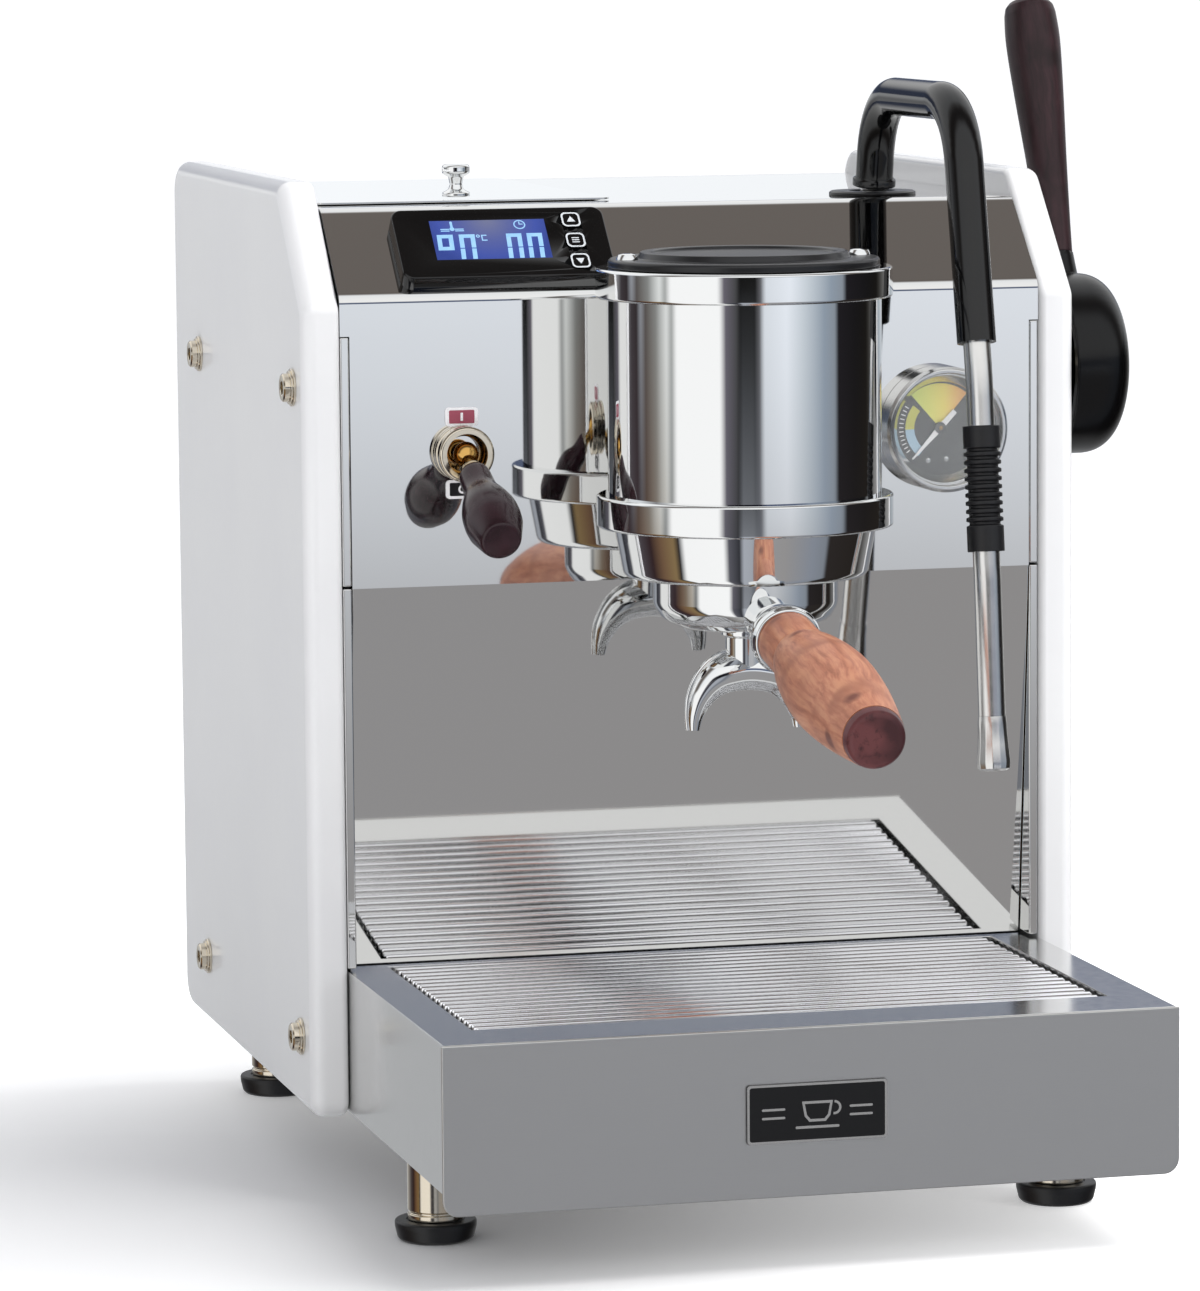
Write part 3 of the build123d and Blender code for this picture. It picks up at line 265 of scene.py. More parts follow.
def copied(node, name, bevel=0.0):
    """A merged, smoothly shaded copy of a CAD node, with its sharp edges eased by a bevel in mm."""
    shape = bmesh.new()
    shape.from_mesh(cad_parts[node].data)
    bmesh.ops.remove_doubles(shape, verts=shape.verts, dist=1e-6)
    if bevel:
        bmesh.ops.dissolve_limit(shape, angle_limit=math.radians(2), verts=shape.verts, edges=shape.edges)
    piece = new_piece(name, shape)
    if bevel:
        ease = piece.modifiers.new("eased_edges", "BEVEL")
        ease.width = bevel * MM
        ease.segments = 3
        ease.limit_method = "ANGLE"
        ease.angle_limit = math.radians(40)
    return smooth(piece)


def fit(piece, body, finish, slot, *nodes):
    """Gives a piece its finish and its place on a body, where it stands for CAD nodes."""
    if finish is not None:
        piece.data.materials.clear()
        piece.data.materials.append(finish)
    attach(piece, body)
    if nodes:
        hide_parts(*nodes)
    return piece


def refinished(node, name, body, finish, slot, bevel=0.0):
    """Puts a smooth copy of a CAD node in that node's place."""
    return fit(copied(node, name, bevel), body, finish, slot, node)


for node in ("side_panel_left", "side_panel_right"):
    refinished(node, node + "_lacquered", "machine", lacquer, "lacquer_white")

# ------------------------------------------------------------------ panel screws
# Nickel-plated socket-head screws, each on a thick and a thin washer, four in each side panel.
# The plating is warm and a little dull, with fine rings left by the lathe.
NICKEL = "#dcd2c0"
TURNING_MM = 1.1
HEAD_R = 5.6
WASHER_R = 7.4
SOCKET_R = 2.9

nickel, tree, shader, where = material("turned_nickel")
lathe = add_node(tree, "Mapping", {"Vector": where, "Scale": (4.0, 4.0, 1 / (TURNING_MM * MM))})
rings = add_node(tree, "TexNoise", {"Vector": lathe.outputs[0], "Scale": 1.0, "Detail": 3.0})
worn = add_node(tree, "MapRange", {"Value": rings.outputs[0], "To Min": 0.05, "To Max": 0.16})
feed(shader, {"Base Color": linear(NICKEL), "Metallic": 1.0, "Roughness": worn.outputs[0]})


def eased(outline, radius, steps=4):
    """The outline with its corners rounded by curves that start up to radius from each corner."""
    made = [outline[0]]
    for before, corner, after in zip(outline, outline[1:], outline[2:]):
        back = Vector(before[:2]) - Vector(corner[:2])
        on = Vector(after[:2]) - Vector(corner[:2])
        turn = math.pi - back.angle(on, math.pi)
        if turn < math.radians(12) or corner[0] < 0.01 or len(corner) > 2:
            made.append(corner)
            continue
        reach = min(radius, 0.45 * back.length, 0.45 * on.length)
        first = Vector(corner) + back.normalized() * reach
        last = Vector(corner) + on.normalized() * reach
        for i in range(steps + 1):
            t = i / steps
            point = first * (1 - t) ** 2 + Vector(corner) * 2 * t * (1 - t) + last * t**2
            made.append(tuple(point))
    return made + [outline[-1]]


def turned(name, outline, foot, along, ease=0.0, segments=96):
    """A shape turned about an axis, from (radius, distance) points in mm; a third value is a corner count."""
    along = Vector(along).normalized()
    across = along.orthogonal().normalized()
    other = along.cross(across)
    shape = bmesh.new()
    rings = []
    for radius, distance, *corners in eased(outline, ease) if ease else outline:
        centre = foot + along * distance * MM
        if radius < 0.01:
            rings.append([shape.verts.new(centre)])
            continue
        ring = []
        for i in range(segments):
            angle = math.tau * i / segments
            reach = radius
            if corners:
                wedge = math.tau / corners[0]
                reach = radius * math.cos(wedge / 2) / math.cos((angle % wedge) - wedge / 2)
            out = across * math.cos(angle) + other * math.sin(angle)
            ring.append(shape.verts.new(centre + out * reach * MM))
        rings.append(ring)
    for low, high in zip(rings, rings[1:] + rings[:1]):
        if len(low) == len(high) == 1:
            continue
        for i in range(segments):
            j = (i + 1) % segments
            corners = [low[i % len(low)], low[j % len(low)], high[j % len(high)], high[i % len(high)]]
            shape.faces.new(list(dict.fromkeys(corners)))
    bmesh.ops.remove_doubles(shape, verts=shape.verts, dist=1e-7)
    bmesh.ops.recalc_face_normals(shape, faces=shape.faces)
    return smooth(new_piece(name, shape))


def node_tree(name, sizes):
    """An empty geometry tree with named inputs, its input node and the inputs' identifiers by name."""
    tree = bpy.data.node_groups.new(name, "GeometryNodeTree")
    tree.interface.new_socket("Geometry", in_out="OUTPUT", socket_type="NodeSocketGeometry")
    keys = {}
    for label, kind in sizes:
        socket = tree.interface.new_socket(label, in_out="INPUT", socket_type="NodeSocket" + kind)
        keys[label] = socket.identifier
    return tree, tree.nodes.new("NodeGroupInput"), keys


def grown(name, tree, keys, values):
    """Runs a geometry tree with its inputs and returns the result as a plain mesh object."""
    carrier = bpy.data.objects.new(name + "_carrier", bpy.data.meshes.new(name + "_carrier"))
    bpy.context.scene.collection.objects.link(carrier)
    modifier = carrier.modifiers.new("grow", "NODES")
    modifier.node_group = tree
    for label, value in values.items():
        modifier[keys[label]] = value
    depsgraph = bpy.context.evaluated_depsgraph_get()
    mesh = bpy.data.meshes.new_from_object(carrier.evaluated_get(depsgraph), depsgraph=depsgraph)
    bpy.data.objects.remove(carrier)
    mesh.name = name
    piece = bpy.data.objects.new(name, mesh)
    bpy.context.scene.collection.objects.link(piece)
    return piece


# Rows of one made piece: as many along one step, and as many of those along another
rows_tree, given, rows_keys = node_tree("rows", [
    ("Piece", "Object"), ("Count", "Int"), ("Step", "Vector"), ("Rows", "Int"), ("Row Step", "Vector"),
    ("Material", "Material"),
])
asked = given.outputs
line = add_node(rows_tree, "MeshLine", {"Count": asked["Count"], "Offset": asked["Step"]})
rows = add_node(rows_tree, "MeshLine", {"Count": asked["Rows"], "Offset": asked["Row Step"]})
grid = add_node(rows_tree, "InstanceOnPoints", {"Points": rows.outputs[0], "Instance": line.outputs[0]})
points = add_node(rows_tree, "RealizeInstances", {"Geometry": grid.outputs[0]})
sample = add_node(rows_tree, "ObjectInfo", {"Object": asked["Piece"]})
copies = add_node(rows_tree, "InstanceOnPoints",
                  {"Points": points.outputs[0], "Instance": sample.outputs["Geometry"]})
whole = add_node(rows_tree, "RealizeInstances", {"Geometry": copies.outputs[0]})
finished = add_node(rows_tree, "SetMaterial",
                    {"Geometry": whole.outputs[0], "Material": asked["Material"]})
feed(rows_tree.nodes.new("NodeGroupOutput"), {"Geometry": finished.outputs[0]})


def in_rows(sample, name, finish, count, step, rows=1, row_step=(0, 0, 0)):
    """Copies of a made piece in rows; the sample itself is taken away."""
    values = {"Piece": sample, "Count": count, "Step": [s * MM for s in step], "Rows": rows,
              "Row Step": [s * MM for s in row_step], "Material": finish}
    piece = grown(name, rows_tree, rows_keys, values)
    bpy.data.objects.remove(sample)
    return piece


screw_outline = [
    (0, 3.0), (SOCKET_R, 3.0, 6), (SOCKET_R, 4.3, 6), (3.4, 4.55), (HEAD_R - 0.6, 4.55), (HEAD_R, 4.0),
    (HEAD_R, 1.9), (6.4, 1.9), (6.5, 1.8), (6.5, 1.1), (WASHER_R - 0.2, 1.1), (WASHER_R, 0.9),
    (WASHER_R, 0.2), (WASHER_R - 0.2, 0.02), (0, 0.02),
]
screw_spots = {"left": (-157.5, -1), "right": (157.5, 1)}
for side, (x, way) in screw_spots.items():
    sample = turned("screw", screw_outline, at(x, 20, 64), (way, 0, 0), segments=48)
    screws = in_rows(sample, "panel_screws_" + side, nickel, 2, (0, 197, 0), 2, (0, 0, 257))
    fit(screws, "machine", nickel, "chrome", *(["machine_screws"] if side == "left" else []))

# ------------------------------------------------------------------ feet
# Turned nickel posts in the base plate, each on a black rubber pad moulded with a small rim.
# The rubber is matt and drinks the light.
RUBBER = "#141416"

rubber, tree, shader, where = material("moulded_black_rubber")
feed(shader, {"Base Color": linear(RUBBER), "Roughness": 0.42, "Specular IOR Level": 0.45,
              "Normal": dented(tree, where, 0.7, 0.15, 0.2, 2.0)})

post_outline = [(0, 8.2), (10.8, 8.2), (10.8, 10.4), (10.1, 10.7), (10.1, 11.5), (10.8, 11.8), (10.8, 31),
                (10.2, 33.4), (0, 33.4)]
pad_outline = [(0, 0), (13.5, 0), (14.7, 1.2), (15.75, 5.6), (15.75, 7.4), (15.1, 8), (11.2, 8), (11.2, 7.4),
               (0, 7.4)]
FOOT_ROWS = (2, (250, 0, 0), 2, (0, 309, 0))
UP = (0, 0, 1)
first_foot = at(-125, -73, 0)
posts = in_rows(turned("post", post_outline, first_foot, UP, 0.3), "foot_posts_turned", nickel, *FOOT_ROWS)
fit(posts, "machine", nickel, "chrome", "foot_posts")
pads = in_rows(turned("pad", pad_outline, first_foot, UP, 0.5), "foot_pads_moulded", rubber, *FOOT_ROWS)
fit(pads, "machine", rubber, "black_rubber", "foot_pads")

# ------------------------------------------------------------------ polished front
# One sheet of mirror-polished stainless steel, folded over the slope and on to the top, with a
# separate splash sheet below the seam and a narrow polished strip down each side.
STEEL = "#e3e3e2"
SHEET = 1.2
FOLD_RADIUS = 2.6


def hazed(name, code, patch_mm, low, high, more=None, detail=2.0, waves=None):
    """A finish of one colour whose roughness drifts between two values in patches, with waves where asked."""
    made, tree, shader, where = material(name)
    patches = add_node(tree, "TexNoise", {"Vector": where, "Scale": 1 / (patch_mm * MM), "Detail": detail})
    drift = add_node(tree, "MapRange", {"Value": patches.outputs[0], "To Min": low, "To Max": high})
    feed(shader, {"Base Color": linear(code), "Roughness": drift.outputs[0], **(more or {})})
    if waves:
        feed(shader, {"Normal": dented(tree, where, *waves)})
    return made


METAL = {"Metallic": 1.0}
mirror_steel = hazed("mirror_polished_stainless", STEEL, 40.0, 0.015, 0.045, METAL, 4.0,
                     waves=(167.0, 0.02, 4.0, 0.0))


def folded(name, route, half_width, thickness=SHEET, ease=FOLD_RADIUS):
    """A sheet folded along (depth, height) points in mm, as wide as the body to both sides of its middle."""
    route = [Vector(p) for p in eased(route, ease, 8)]
    ways = [(b - a).normalized() for a, b in zip(route, route[1:])]
    inner = []
    for i, point in enumerate(route):
        way = (ways[max(i - 1, 0)] + ways[min(i, len(ways) - 1)]).normalized()
        inner.append(point + Vector((way.y, -way.x)) * thickness)
    outline = route + inner[::-1]
    shape = bmesh.new()
    ends = [[shape.verts.new(at(x, p.x, p.y)) for p in outline] for x in (-half_width, half_width)]
    for i in range(len(outline)):
        j = (i + 1) % len(outline)
        shape.faces.new((ends[0][i], ends[0][j], ends[1][j], ends[1][i]))
    count = len(route)
    for end in ends:
        for i in range(count - 1):
            shape.faces.new((end[i], end[i + 1], end[2 * count - 2 - i], end[2 * count - 1 - i]))
    bmesh.ops.recalc_face_normals(shape, faces=shape.faces)
    return smooth(new_piece(name, shape), 40)


def joined(pieces, name):
    """Several mesh objects as one."""
    shape = bmesh.new()
    for piece in pieces:
        shape.from_mesh(piece.data)
        bpy.data.objects.remove(piece)
    return new_piece(name, shape)


upper = folded("upper", [(2, 341.5), (2, 356.5), (36, 389.5), (44, 389.5)], 142.3)
lower = folded("lower", [(2, 243.0), (2, 341.5)], 138.5)
front_sheet = smooth(joined([upper, lower], "front_sheet"), 40)
fit(front_sheet, "machine", mirror_steel, "polished_steel", "front_panel")
for node in ("splash_panel", "top_plate"):
    refinished(node, node + "_polished", "machine", mirror_steel, "polished_steel", 0.25)
refinished("panel_trims", "panel_trims_polished", "machine", mirror_steel, "polished_steel", 0.6)

# ------------------------------------------------------------------ tank lid and its knob
# A polished lid on the water tank under the top, lifted by a small turned chrome knob.
knob_outline = [(0, 0), (5.6, 0), (5.6, 1.6), (3.2, 2.8), (2.5, 5), (3.1, 8), (5.4, 9.3), (5.6, 10),
                (5.6, 12.2), (4.6, 13), (0, 13)]
lid_low, lid_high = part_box("tank_lid")
chrome = hazed("bright_chrome_plate", "#eceded", 16.7, 0.02, 0.05, METAL, detail=3.0)


def plate(name, low, high, ease):
    """A flat plate between two corners, with rounded corners and eased edges, in metres."""
    shape = bmesh.new()
    bmesh.ops.create_cube(shape, size=1.0)
    size, centre = high - low, (low + high) / 2
    bmesh.ops.transform(shape, matrix=Matrix.Diagonal((*size, 1)), verts=shape.verts)
    bmesh.ops.translate(shape, vec=centre, verts=shape.verts)
    upright = [e for e in shape.edges if abs(e.verts[0].co.z - e.verts[1].co.z) > size.z / 2]
    bmesh.ops.bevel(shape, geom=upright, offset=4 * MM, segments=6, profile=0.5, affect="EDGES")
    rims = [e for e in shape.edges if abs(e.verts[0].co.z - e.verts[1].co.z) < 1e-6]
    bmesh.ops.bevel(shape, geom=rims, offset=ease * MM, segments=3, profile=0.5, affect="EDGES")
    return new_piece(name, shape)


lid_sheet = plate("lid_sheet", lid_low, Vector((lid_high.x, lid_high.y, lid_low.z + 0.8 * MM)), 0.25)
knob = turned("knob", knob_outline, at(-77, 82, 391.3), UP, 0.5, 64)
fit(smooth(joined([lid_sheet, knob], "tank_lid_with_knob")), "lid", chrome, "polished_steel", "tank_lid")

# ------------------------------------------------------------------ group head
# A heavy chromed cup on a neck, with two clamped rings and a bayonet bell below. A black
# moulded cap with a raised rim closes it, held by two small screws.
BLACK_ABS = "#1b1b1d"
GROUP_SPOT = at(1, -68, 0)

black_abs, tree, shader, where = material("satin_black_abs")
feed(shader, {"Base Color": linear(BLACK_ABS), "Roughness": 0.3, "Specular IOR Level": 0.45,
              "Normal": dented(tree, where, 1.4, 0.08, 0.2, 3.0)})

cup_outline = [(0, 270.4), (52.5, 270.4), (52.5, 369.6), (47, 369.6), (47, 300), (0, 300)]
cup = turned("cup", cup_outline, GROUP_SPOT, UP, 0.3, 192)
neck_outline = [(0, 0), (25, 0), (25, 31.2), (25.6, 31.9), (27.5, 32), (34, 32), (34, 36.3), (0, 36.3)]
neck = turned("neck", neck_outline, at(1, -31, 318), (0, 1, 0), 0.8)
group_cup = smooth(joined([cup, neck], "group_cup"))
fit(group_cup, "machine", chrome, "chrome", "group_body")
ring_outlines = [[(52.4, low), (56.3, low), (57, low + 0.7), (57, high - 0.7), (56.3, high), (52.4, high)]
                 for low, high in ((358.0, 369.6), (270.3, 282.7))]
rings = [turned("ring", outline, GROUP_SPOT, UP, 0.5, 192) for outline in ring_outlines]
fit(smooth(joined(rings, "group_clamp_rings")), "machine", chrome, "chrome", "group_rings")
bell_outline = [(37, 251.2), (45.6, 251.2), (46.6, 252), (47.2, 253.2), (50.4, 270.2), (44, 270.2), (44, 268),
                (40.4, 266), (40.4, 253.6), (37, 253.6)]
bell = turned("group_bayonet_bell", bell_outline, GROUP_SPOT, UP, 0.5, 192)
fit(bell, "machine", chrome, "chrome", "group_bell")
cap_outline = [(0, 362), (47, 362), (47, 369.7), (52, 369.7), (52, 372.2), (51.2, 373), (40.8, 373),
               (39.6, 375.4), (38.9, 375.6), (36.6, 375.6), (35.8, 375.3), (35.2, 374.3), (0, 374.2)]
cap = turned("group_cap_moulded", cap_outline, GROUP_SPOT, UP, 0.5, 192)
fit(cap, "machine", black_abs, "black_plastic", "group_cap")
cap_screw_outline = [(0, 1.0), (1.4, 1.0, 6), (1.4, 2.2, 6), (2.2, 2.35), (3.5, 2.0), (4.1, 0.9), (4.2, 0.03),
                     (0, 0.03)]
cap_screw = turned("cap_screw", cap_screw_outline, at(-45, -68, 373), UP, segments=48)
cap_screws = in_rows(cap_screw, "group_cap_screws", chrome, 2, (92, 0, 0))
fit(cap_screws, "machine", chrome, "chrome")

# ------------------------------------------------------------------ portafilter
# A chromed bowl with two ears and a ferrule, and a forked pouring spout below it.
YAW = math.radians(2.0)
DROOP = math.radians(9.0)
outward = Vector((-math.sin(YAW), -math.cos(YAW), 0))
rightward = Vector((math.cos(YAW), -math.sin(YAW), 0))
handle_way = outward * math.cos(DROOP) - Vector((0, 0, math.sin(DROOP)))
HANDLE_FOOT = at(1, -68, 243.3)

bowl_outline = [(0, 230), (14, 230), (26, 231.6), (32.5, 234.8), (35.7, 240), (35.7, 261.9), (34.6, 261.9),
                (34.6, 260.3), (31.4, 260.3), (31.4, 239), (28, 235), (0, 233)]
bowl = turned("bowl", bowl_outline, GROUP_SPOT, UP, 2.0, 128)
ferrule_outline = [(0, 30), (8.8, 30), (8.6, 44), (9.2, 50), (11.0, 56), (12.6, 60), (13.3, 63.6),
                   (13.3, 65.6), (12.9, 66.4), (12.3, 67.9), (0, 67.9)]
ferrule = turned("ferrule", ferrule_outline, HANDLE_FOOT, handle_way, 1.2)
ears = bmesh.new()
for way in (-1, 1):
    made = bmesh.ops.create_cube(ears, size=1.0)
    size = Matrix.Diagonal((5.4 * MM, 22 * MM, 4.2 * MM, 1))
    spot = Matrix.Translation(GROUP_SPOT + Vector((0, 0, 256.1 * MM)) + rightward * way * 37.0 * MM)
    turn = Matrix.Rotation(-YAW, 4, "Z")
    bmesh.ops.transform(ears, matrix=spot @ turn @ size, verts=made["verts"])
portafilter = smooth(joined([bowl, ferrule, new_piece("ears", ears)], "portafilter_chromed"))
fit(portafilter, "portafilter", chrome, "chrome", "portafilter_bowl")


def curved(points, steps=8):
    """A smooth line through (radius, distance) points, by Catmull-Rom spans."""
    made = []
    ends = [points[0], *points, points[-1]]
    for a, b, c, d in zip(ends, ends[1:], ends[2:], ends[3:]):
        for t in [i / steps for i in range(steps)]:
            near = [(2 * q + (r - p) * t) / 2 for p, q, r in zip(a, b, c)]
            bend = [(2 * p - 5 * q + 4 * r - s) * t**2 / 2 for p, q, r, s in zip(a, b, c, d)]
            sway = [(3 * q - p - 3 * r + s) * t**3 / 2 for p, q, r, s in zip(a, b, c, d)]
            made.append(tuple(map(sum, zip(near, bend, sway))))
    return made + [tuple(points[-1])]


def ways_along(points):
    """The direction of a line at each of its (sideways, height, radius) points."""
    ends = zip([points[0], *points[:-1]], [*points[1:], points[-1]])
    return [Vector((after[0] - before[0], after[1] - before[1])).normalized() for before, after in ends]


def horn(name, points, sides=48):
    """A round tapering shape through (sideways, height, radius) points in mm under the group's middle."""
    shape = bmesh.new()
    rings = []
    turns = [math.tau * j / sides for j in range(sides)]
    for (x, z, radius), way in zip(points, ways_along(points)):
        lift = rightward * -way.y + Vector((0, 0, way.x))
        centre = GROUP_SPOT + rightward * x * MM + Vector((0, 0, z * MM))
        reaches = [(lift * math.cos(a) + outward * math.sin(a)) * radius * MM for a in turns]
        rings.append([shape.verts.new(centre + reach) for reach in reaches])
    for low, high in zip(rings, rings[1:]):
        for i in range(sides):
            j = (i + 1) % sides
            shape.faces.new((low[i], low[j], high[j], high[i]))
    shape.faces.new(rings[0])
    shape.faces.new(rings[-1][::-1])
    bmesh.ops.recalc_face_normals(shape, faces=shape.faces)
    return new_piece(name, shape)


def lip_of(points):
    """The line along the top of a horn's points, as a thin bead's own points."""
    return [(x - way.y * (radius + 0.1), z + way.x * (radius + 0.1), 1.0)
            for (x, z, radius), way in zip(points, ways_along(points))]


half_spout = [(-20.8, 191.5, 2.2), (-20.3, 197, 3.2), (-18.2, 203.5, 4.8), (-14.2, 209.2, 6.4),
              (-8.5, 213.0, 7.7), (0, 214.6, 8.2)]
spout_line = curved(half_spout + [(-x, z, r) for x, z, r in half_spout[-2::-1]], 5)
boss_outline = [(0, 214), (8, 214), (8, 227.4), (9.6, 228), (9.6, 229.9), (0, 229.9)]
boss = turned("boss", boss_outline, GROUP_SPOT, UP, 0.4)
spouts = joined([horn("spout", spout_line), horn("lip", lip_of(spout_line), 16), boss],
                "double_spout_chromed")
fit(smooth(spouts, 40), "portafilter", chrome, "chrome", "double_spout")

# ------------------------------------------------------------------ portafilter handle
# Turned from one piece of knotty hardwood and varnished: a straight neck, a crease, and a bulge
# that narrows to a dark end cap. The grain runs along the handle, with darker streaks and knots.
OLIVE_WOOD = ("#bd8465", "#ad7056", "#935c46", "#6d3d30")  # light, middle, dark and knot
ROSEWOOD = ("#5a2f31", "#5b2f30", "#3a1d20", "#2a1416")
GRAIN_MM = 2.2
DRIFT_MM = 29.4
STREAK_MM = 23.8


def wood(name, colours, way, foot, roughness, knot_mm):
    """Varnished wood with grain along a direction, drawn in the piece's own place."""
    made, tree, shader, where = material(name)
    light, mid, dark, knot = colours
    turn = Vector(way).to_track_quat("Z", "Y").inverted().to_euler()
    centred = add_node(tree, "VectorMath", {0: where, 1: tuple(foot)}, operation="SUBTRACT")
    laid = add_node(tree, "Mapping", {"Vector": centred.outputs[0], "Rotation": turn})
    drift = add_node(tree, "TexNoise", {"Vector": laid.outputs[0], "Scale": 1 / (DRIFT_MM * MM),
                                        "Detail": 2.0})
    bent = add_node(tree, "VectorMath", {0: drift.outputs["Color"], 1: (7 * MM, 7 * MM, 20 * MM)},
                    operation="MULTIPLY")
    route = add_node(tree, "VectorMath", {0: laid.outputs[0], 1: bent.outputs[0]}, operation="ADD").outputs[0]
    thin = add_node(tree, "Mapping", {"Vector": route, "Scale": (1.0, 1.0, 0.09)})
    fibre = add_node(tree, "TexNoise",
                     {"Vector": thin.outputs[0], "Scale": 1 / (GRAIN_MM * MM), "Detail": 6.0,
                      "Roughness": 0.62})
    cloud = add_node(tree, "TexNoise", {"Vector": route, "Scale": 1 / (STREAK_MM * MM), "Detail": 3.0})
    spots = add_node(tree, "TexVoronoi", {"Vector": route, "Scale": 1 / (knot_mm * MM)}, feature="F1")
    tone, streak, eye = [
        add_node(tree, "ValToRGB", {"Fac": shade}, stops=stops).outputs[0]
        for shade, stops in ((fibre.outputs[0], [(0.32, dark), (0.47, mid), (0.62, light)]),
                             (cloud.outputs[0], [(0.50, "#000000"), (0.68, "#ffffff")]),
                             (spots.outputs["Distance"], [(0.10, "#ffffff"), (0.20, "#000000")]))]
    for share, code in ((streak, dark), (eye, knot)):
        tone = add_node(tree, "Mix", {0: share, 6: tone, 7: linear(code)}, data_type="RGBA").outputs[2]
    pores = add_node(tree, "Bump", {"Height": fibre.outputs[0], "Strength": 0.12, "Distance": 0.3 * MM})
    feed(shader, {"Base Color": tone, "Normal": pores.outputs[0], "Roughness": roughness, "Coat Weight": 0.1,
                  "Coat Roughness": 0.2, "Specular IOR Level": 0.3})
    return made


handle_wood = wood("varnished_olive_wood", OLIVE_WOOD, handle_way, HANDLE_FOOT, 0.42, 26.3)
end_wood = wood("end_grain_rosewood", ROSEWOOD, handle_way, HANDLE_FOOT, 0.38, 16.7)

bulge = curved([(11.8, 92.2), (14.8, 108), (16.9, 130), (16.6, 150), (14.6, 172), (11.6, 193.8)])
handle_outline = [(0, 68), (10.9, 68), (11.4, 68.6), (11.5, 80), (11.75, 91), (11.55, 91.6), *bulge,
                  (0, 193.8)]
handle = turned("portafilter_handle_turned", handle_outline, HANDLE_FOOT, handle_way, 0, 128)
fit(handle, "portafilter", handle_wood, "handle_wood", "portafilter_handle")
end_outline = [(0, 194), (11.45, 194), (11.3, 195.5), (10.8, 197.6), (9.8, 198.8), (8.6, 199.3), (0, 199.5)]
handle_end = turned("handle_end_turned", end_outline, HANDLE_FOOT, handle_way, 0.4, 128)
fit(handle_end, "portafilter", end_wood, "dark_wood", "handle_end_cap")

# ------------------------------------------------------------------ brew lever
# A nickel bushing screwed through the front sheet holds a brass ball and stem, with a dark
# plum knob on it. Two small enamelled label plates mark the lever's two positions.
BREW_X, BREW_Z = -94.2, 295
BREW_SPOT = at(BREW_X, 2, BREW_Z)
BREW_BALL = at(BREW_X, -5, BREW_Z)
BREW_DROOP = math.radians(26.0)
brew_way = Vector((0, -math.cos(BREW_DROOP), -math.sin(BREW_DROOP)))

brass = hazed("turned_brass", "#d9ab62", 2.5, 0.08, 0.2, METAL)

plum = two_tone(
    "polished_plum_resin", 11.1, [(0.35, "#210f15"), (0.7, "#2f1a21")],
    {"Roughness": 0.24, "Coat Weight": 0.15, "Coat Roughness": 0.08, "Specular IOR Level": 0.3}, 3.0)[0]

bushing_outline = [(8.2, 9.9), (10.2, 9.9), (11, 9.1), (11, 5.3), (9.8, 4.7), (9.8, 3.4), (11, 2.9),
                   (11, 0.1), (6.8, 0.1), (6.8, 3), (8.2, 4.4)]
FRONT = (0, -1, 0)
fit(turned("lever_bushing_turned", bushing_outline, BREW_SPOT, FRONT, 0.35), "machine", nickel, "chrome",
    "lever_bushing")
ball = [(5.0 * math.sin(math.radians(v)), -5.0 * math.cos(math.radians(v))) for v in range(0, 150, 10)]
stem_outline = [*ball, (2.6, 4.6), (2.6, 11.6), (2.6, 12), (0, 12)]
fit(turned("lever_stem_turned", stem_outline, BREW_BALL, brew_way), "brew_lever", brass, "brass",
    "lever_stem")
ferrule_outline = [(0, 11.4), (4.0, 11.4), (4.7, 12), (5.1, 14.6), (4.9, 15), (0, 15)]
fit(turned("lever_ferrule", ferrule_outline, BREW_BALL, brew_way, 0.2), "brew_lever", nickel, "chrome")
knob_curve = curved([(5.7, 15.2), (6.3, 18), (6.6, 26), (7.4, 31), (9.4, 37.5), (10.9, 44), (11.2, 50)])
grip_outline = [(0, 15.1), (5.2, 15.1), *knob_curve, (10.9, 54), (8.6, 62.6), (7.9, 64.6), (6.9, 65.3),
                (0, 65.7)]
fit(turned("lever_grip_turned", grip_outline, BREW_BALL, brew_way, 0.6), "brew_lever", plum, "plum_grip",
    "lever_grip")

enamel_white = hazed("white_enamel", "#f2f1f3", 2.0, 0.2, 0.32)
enamel_red = hazed("dull_red_enamel", "#a04a5c", 2.0, 0.25, 0.4)


def flat_shape(name, loops, origin, right, up, thickness=0.15):
    """Thin raised print: filled outlines of (x, y) mm on a plane, as tall as its ink or enamel."""
    right, up = Vector(right).normalized(), Vector(up).normalized()
    out = right.cross(up)
    shape = bmesh.new()
    for loop in loops:
        top = [shape.verts.new(origin + (right * x + up * y + out * thickness) * MM) for x, y in loop]
        low = [shape.verts.new(origin + (right * x + up * y) * MM) for x, y in loop]
        shape.faces.new(top)
        shape.faces.new(low[::-1])
        for i in range(len(loop)):
            j = (i + 1) % len(loop)
            shape.faces.new((low[i], low[j], top[j], top[i]))
    bmesh.ops.recalc_face_normals(shape, faces=shape.faces)
    bmesh.ops.triangulate(shape, faces=[f for f in shape.faces if len(f.verts) > 4])
    return new_piece(name, shape)


def rounded(width, height, radius, x=0.0, y=0.0, steps=5):
    """A rounded rectangle's outline about (x, y)."""
    corners = ((1, 1, 0), (-1, 1, 90), (-1, -1, 180), (1, -1, 270))
    turns = [math.radians(90 * i / steps) for i in range(steps + 1)]
    return [(x + sx * (width / 2 - radius) + radius * math.cos(math.radians(start) + a),
             y + sy * (height / 2 - radius) + radius * math.sin(math.radians(start) + a))
            for sx, sy, start in corners for a in turns]


def bars(outer, inner):
    """The band between two outlines with as many points, as four-sided loops."""
    count = len(outer)
    return [[outer[i], outer[(i + 1) % count], inner[(i + 1) % count], inner[i]] for i in range(count)]


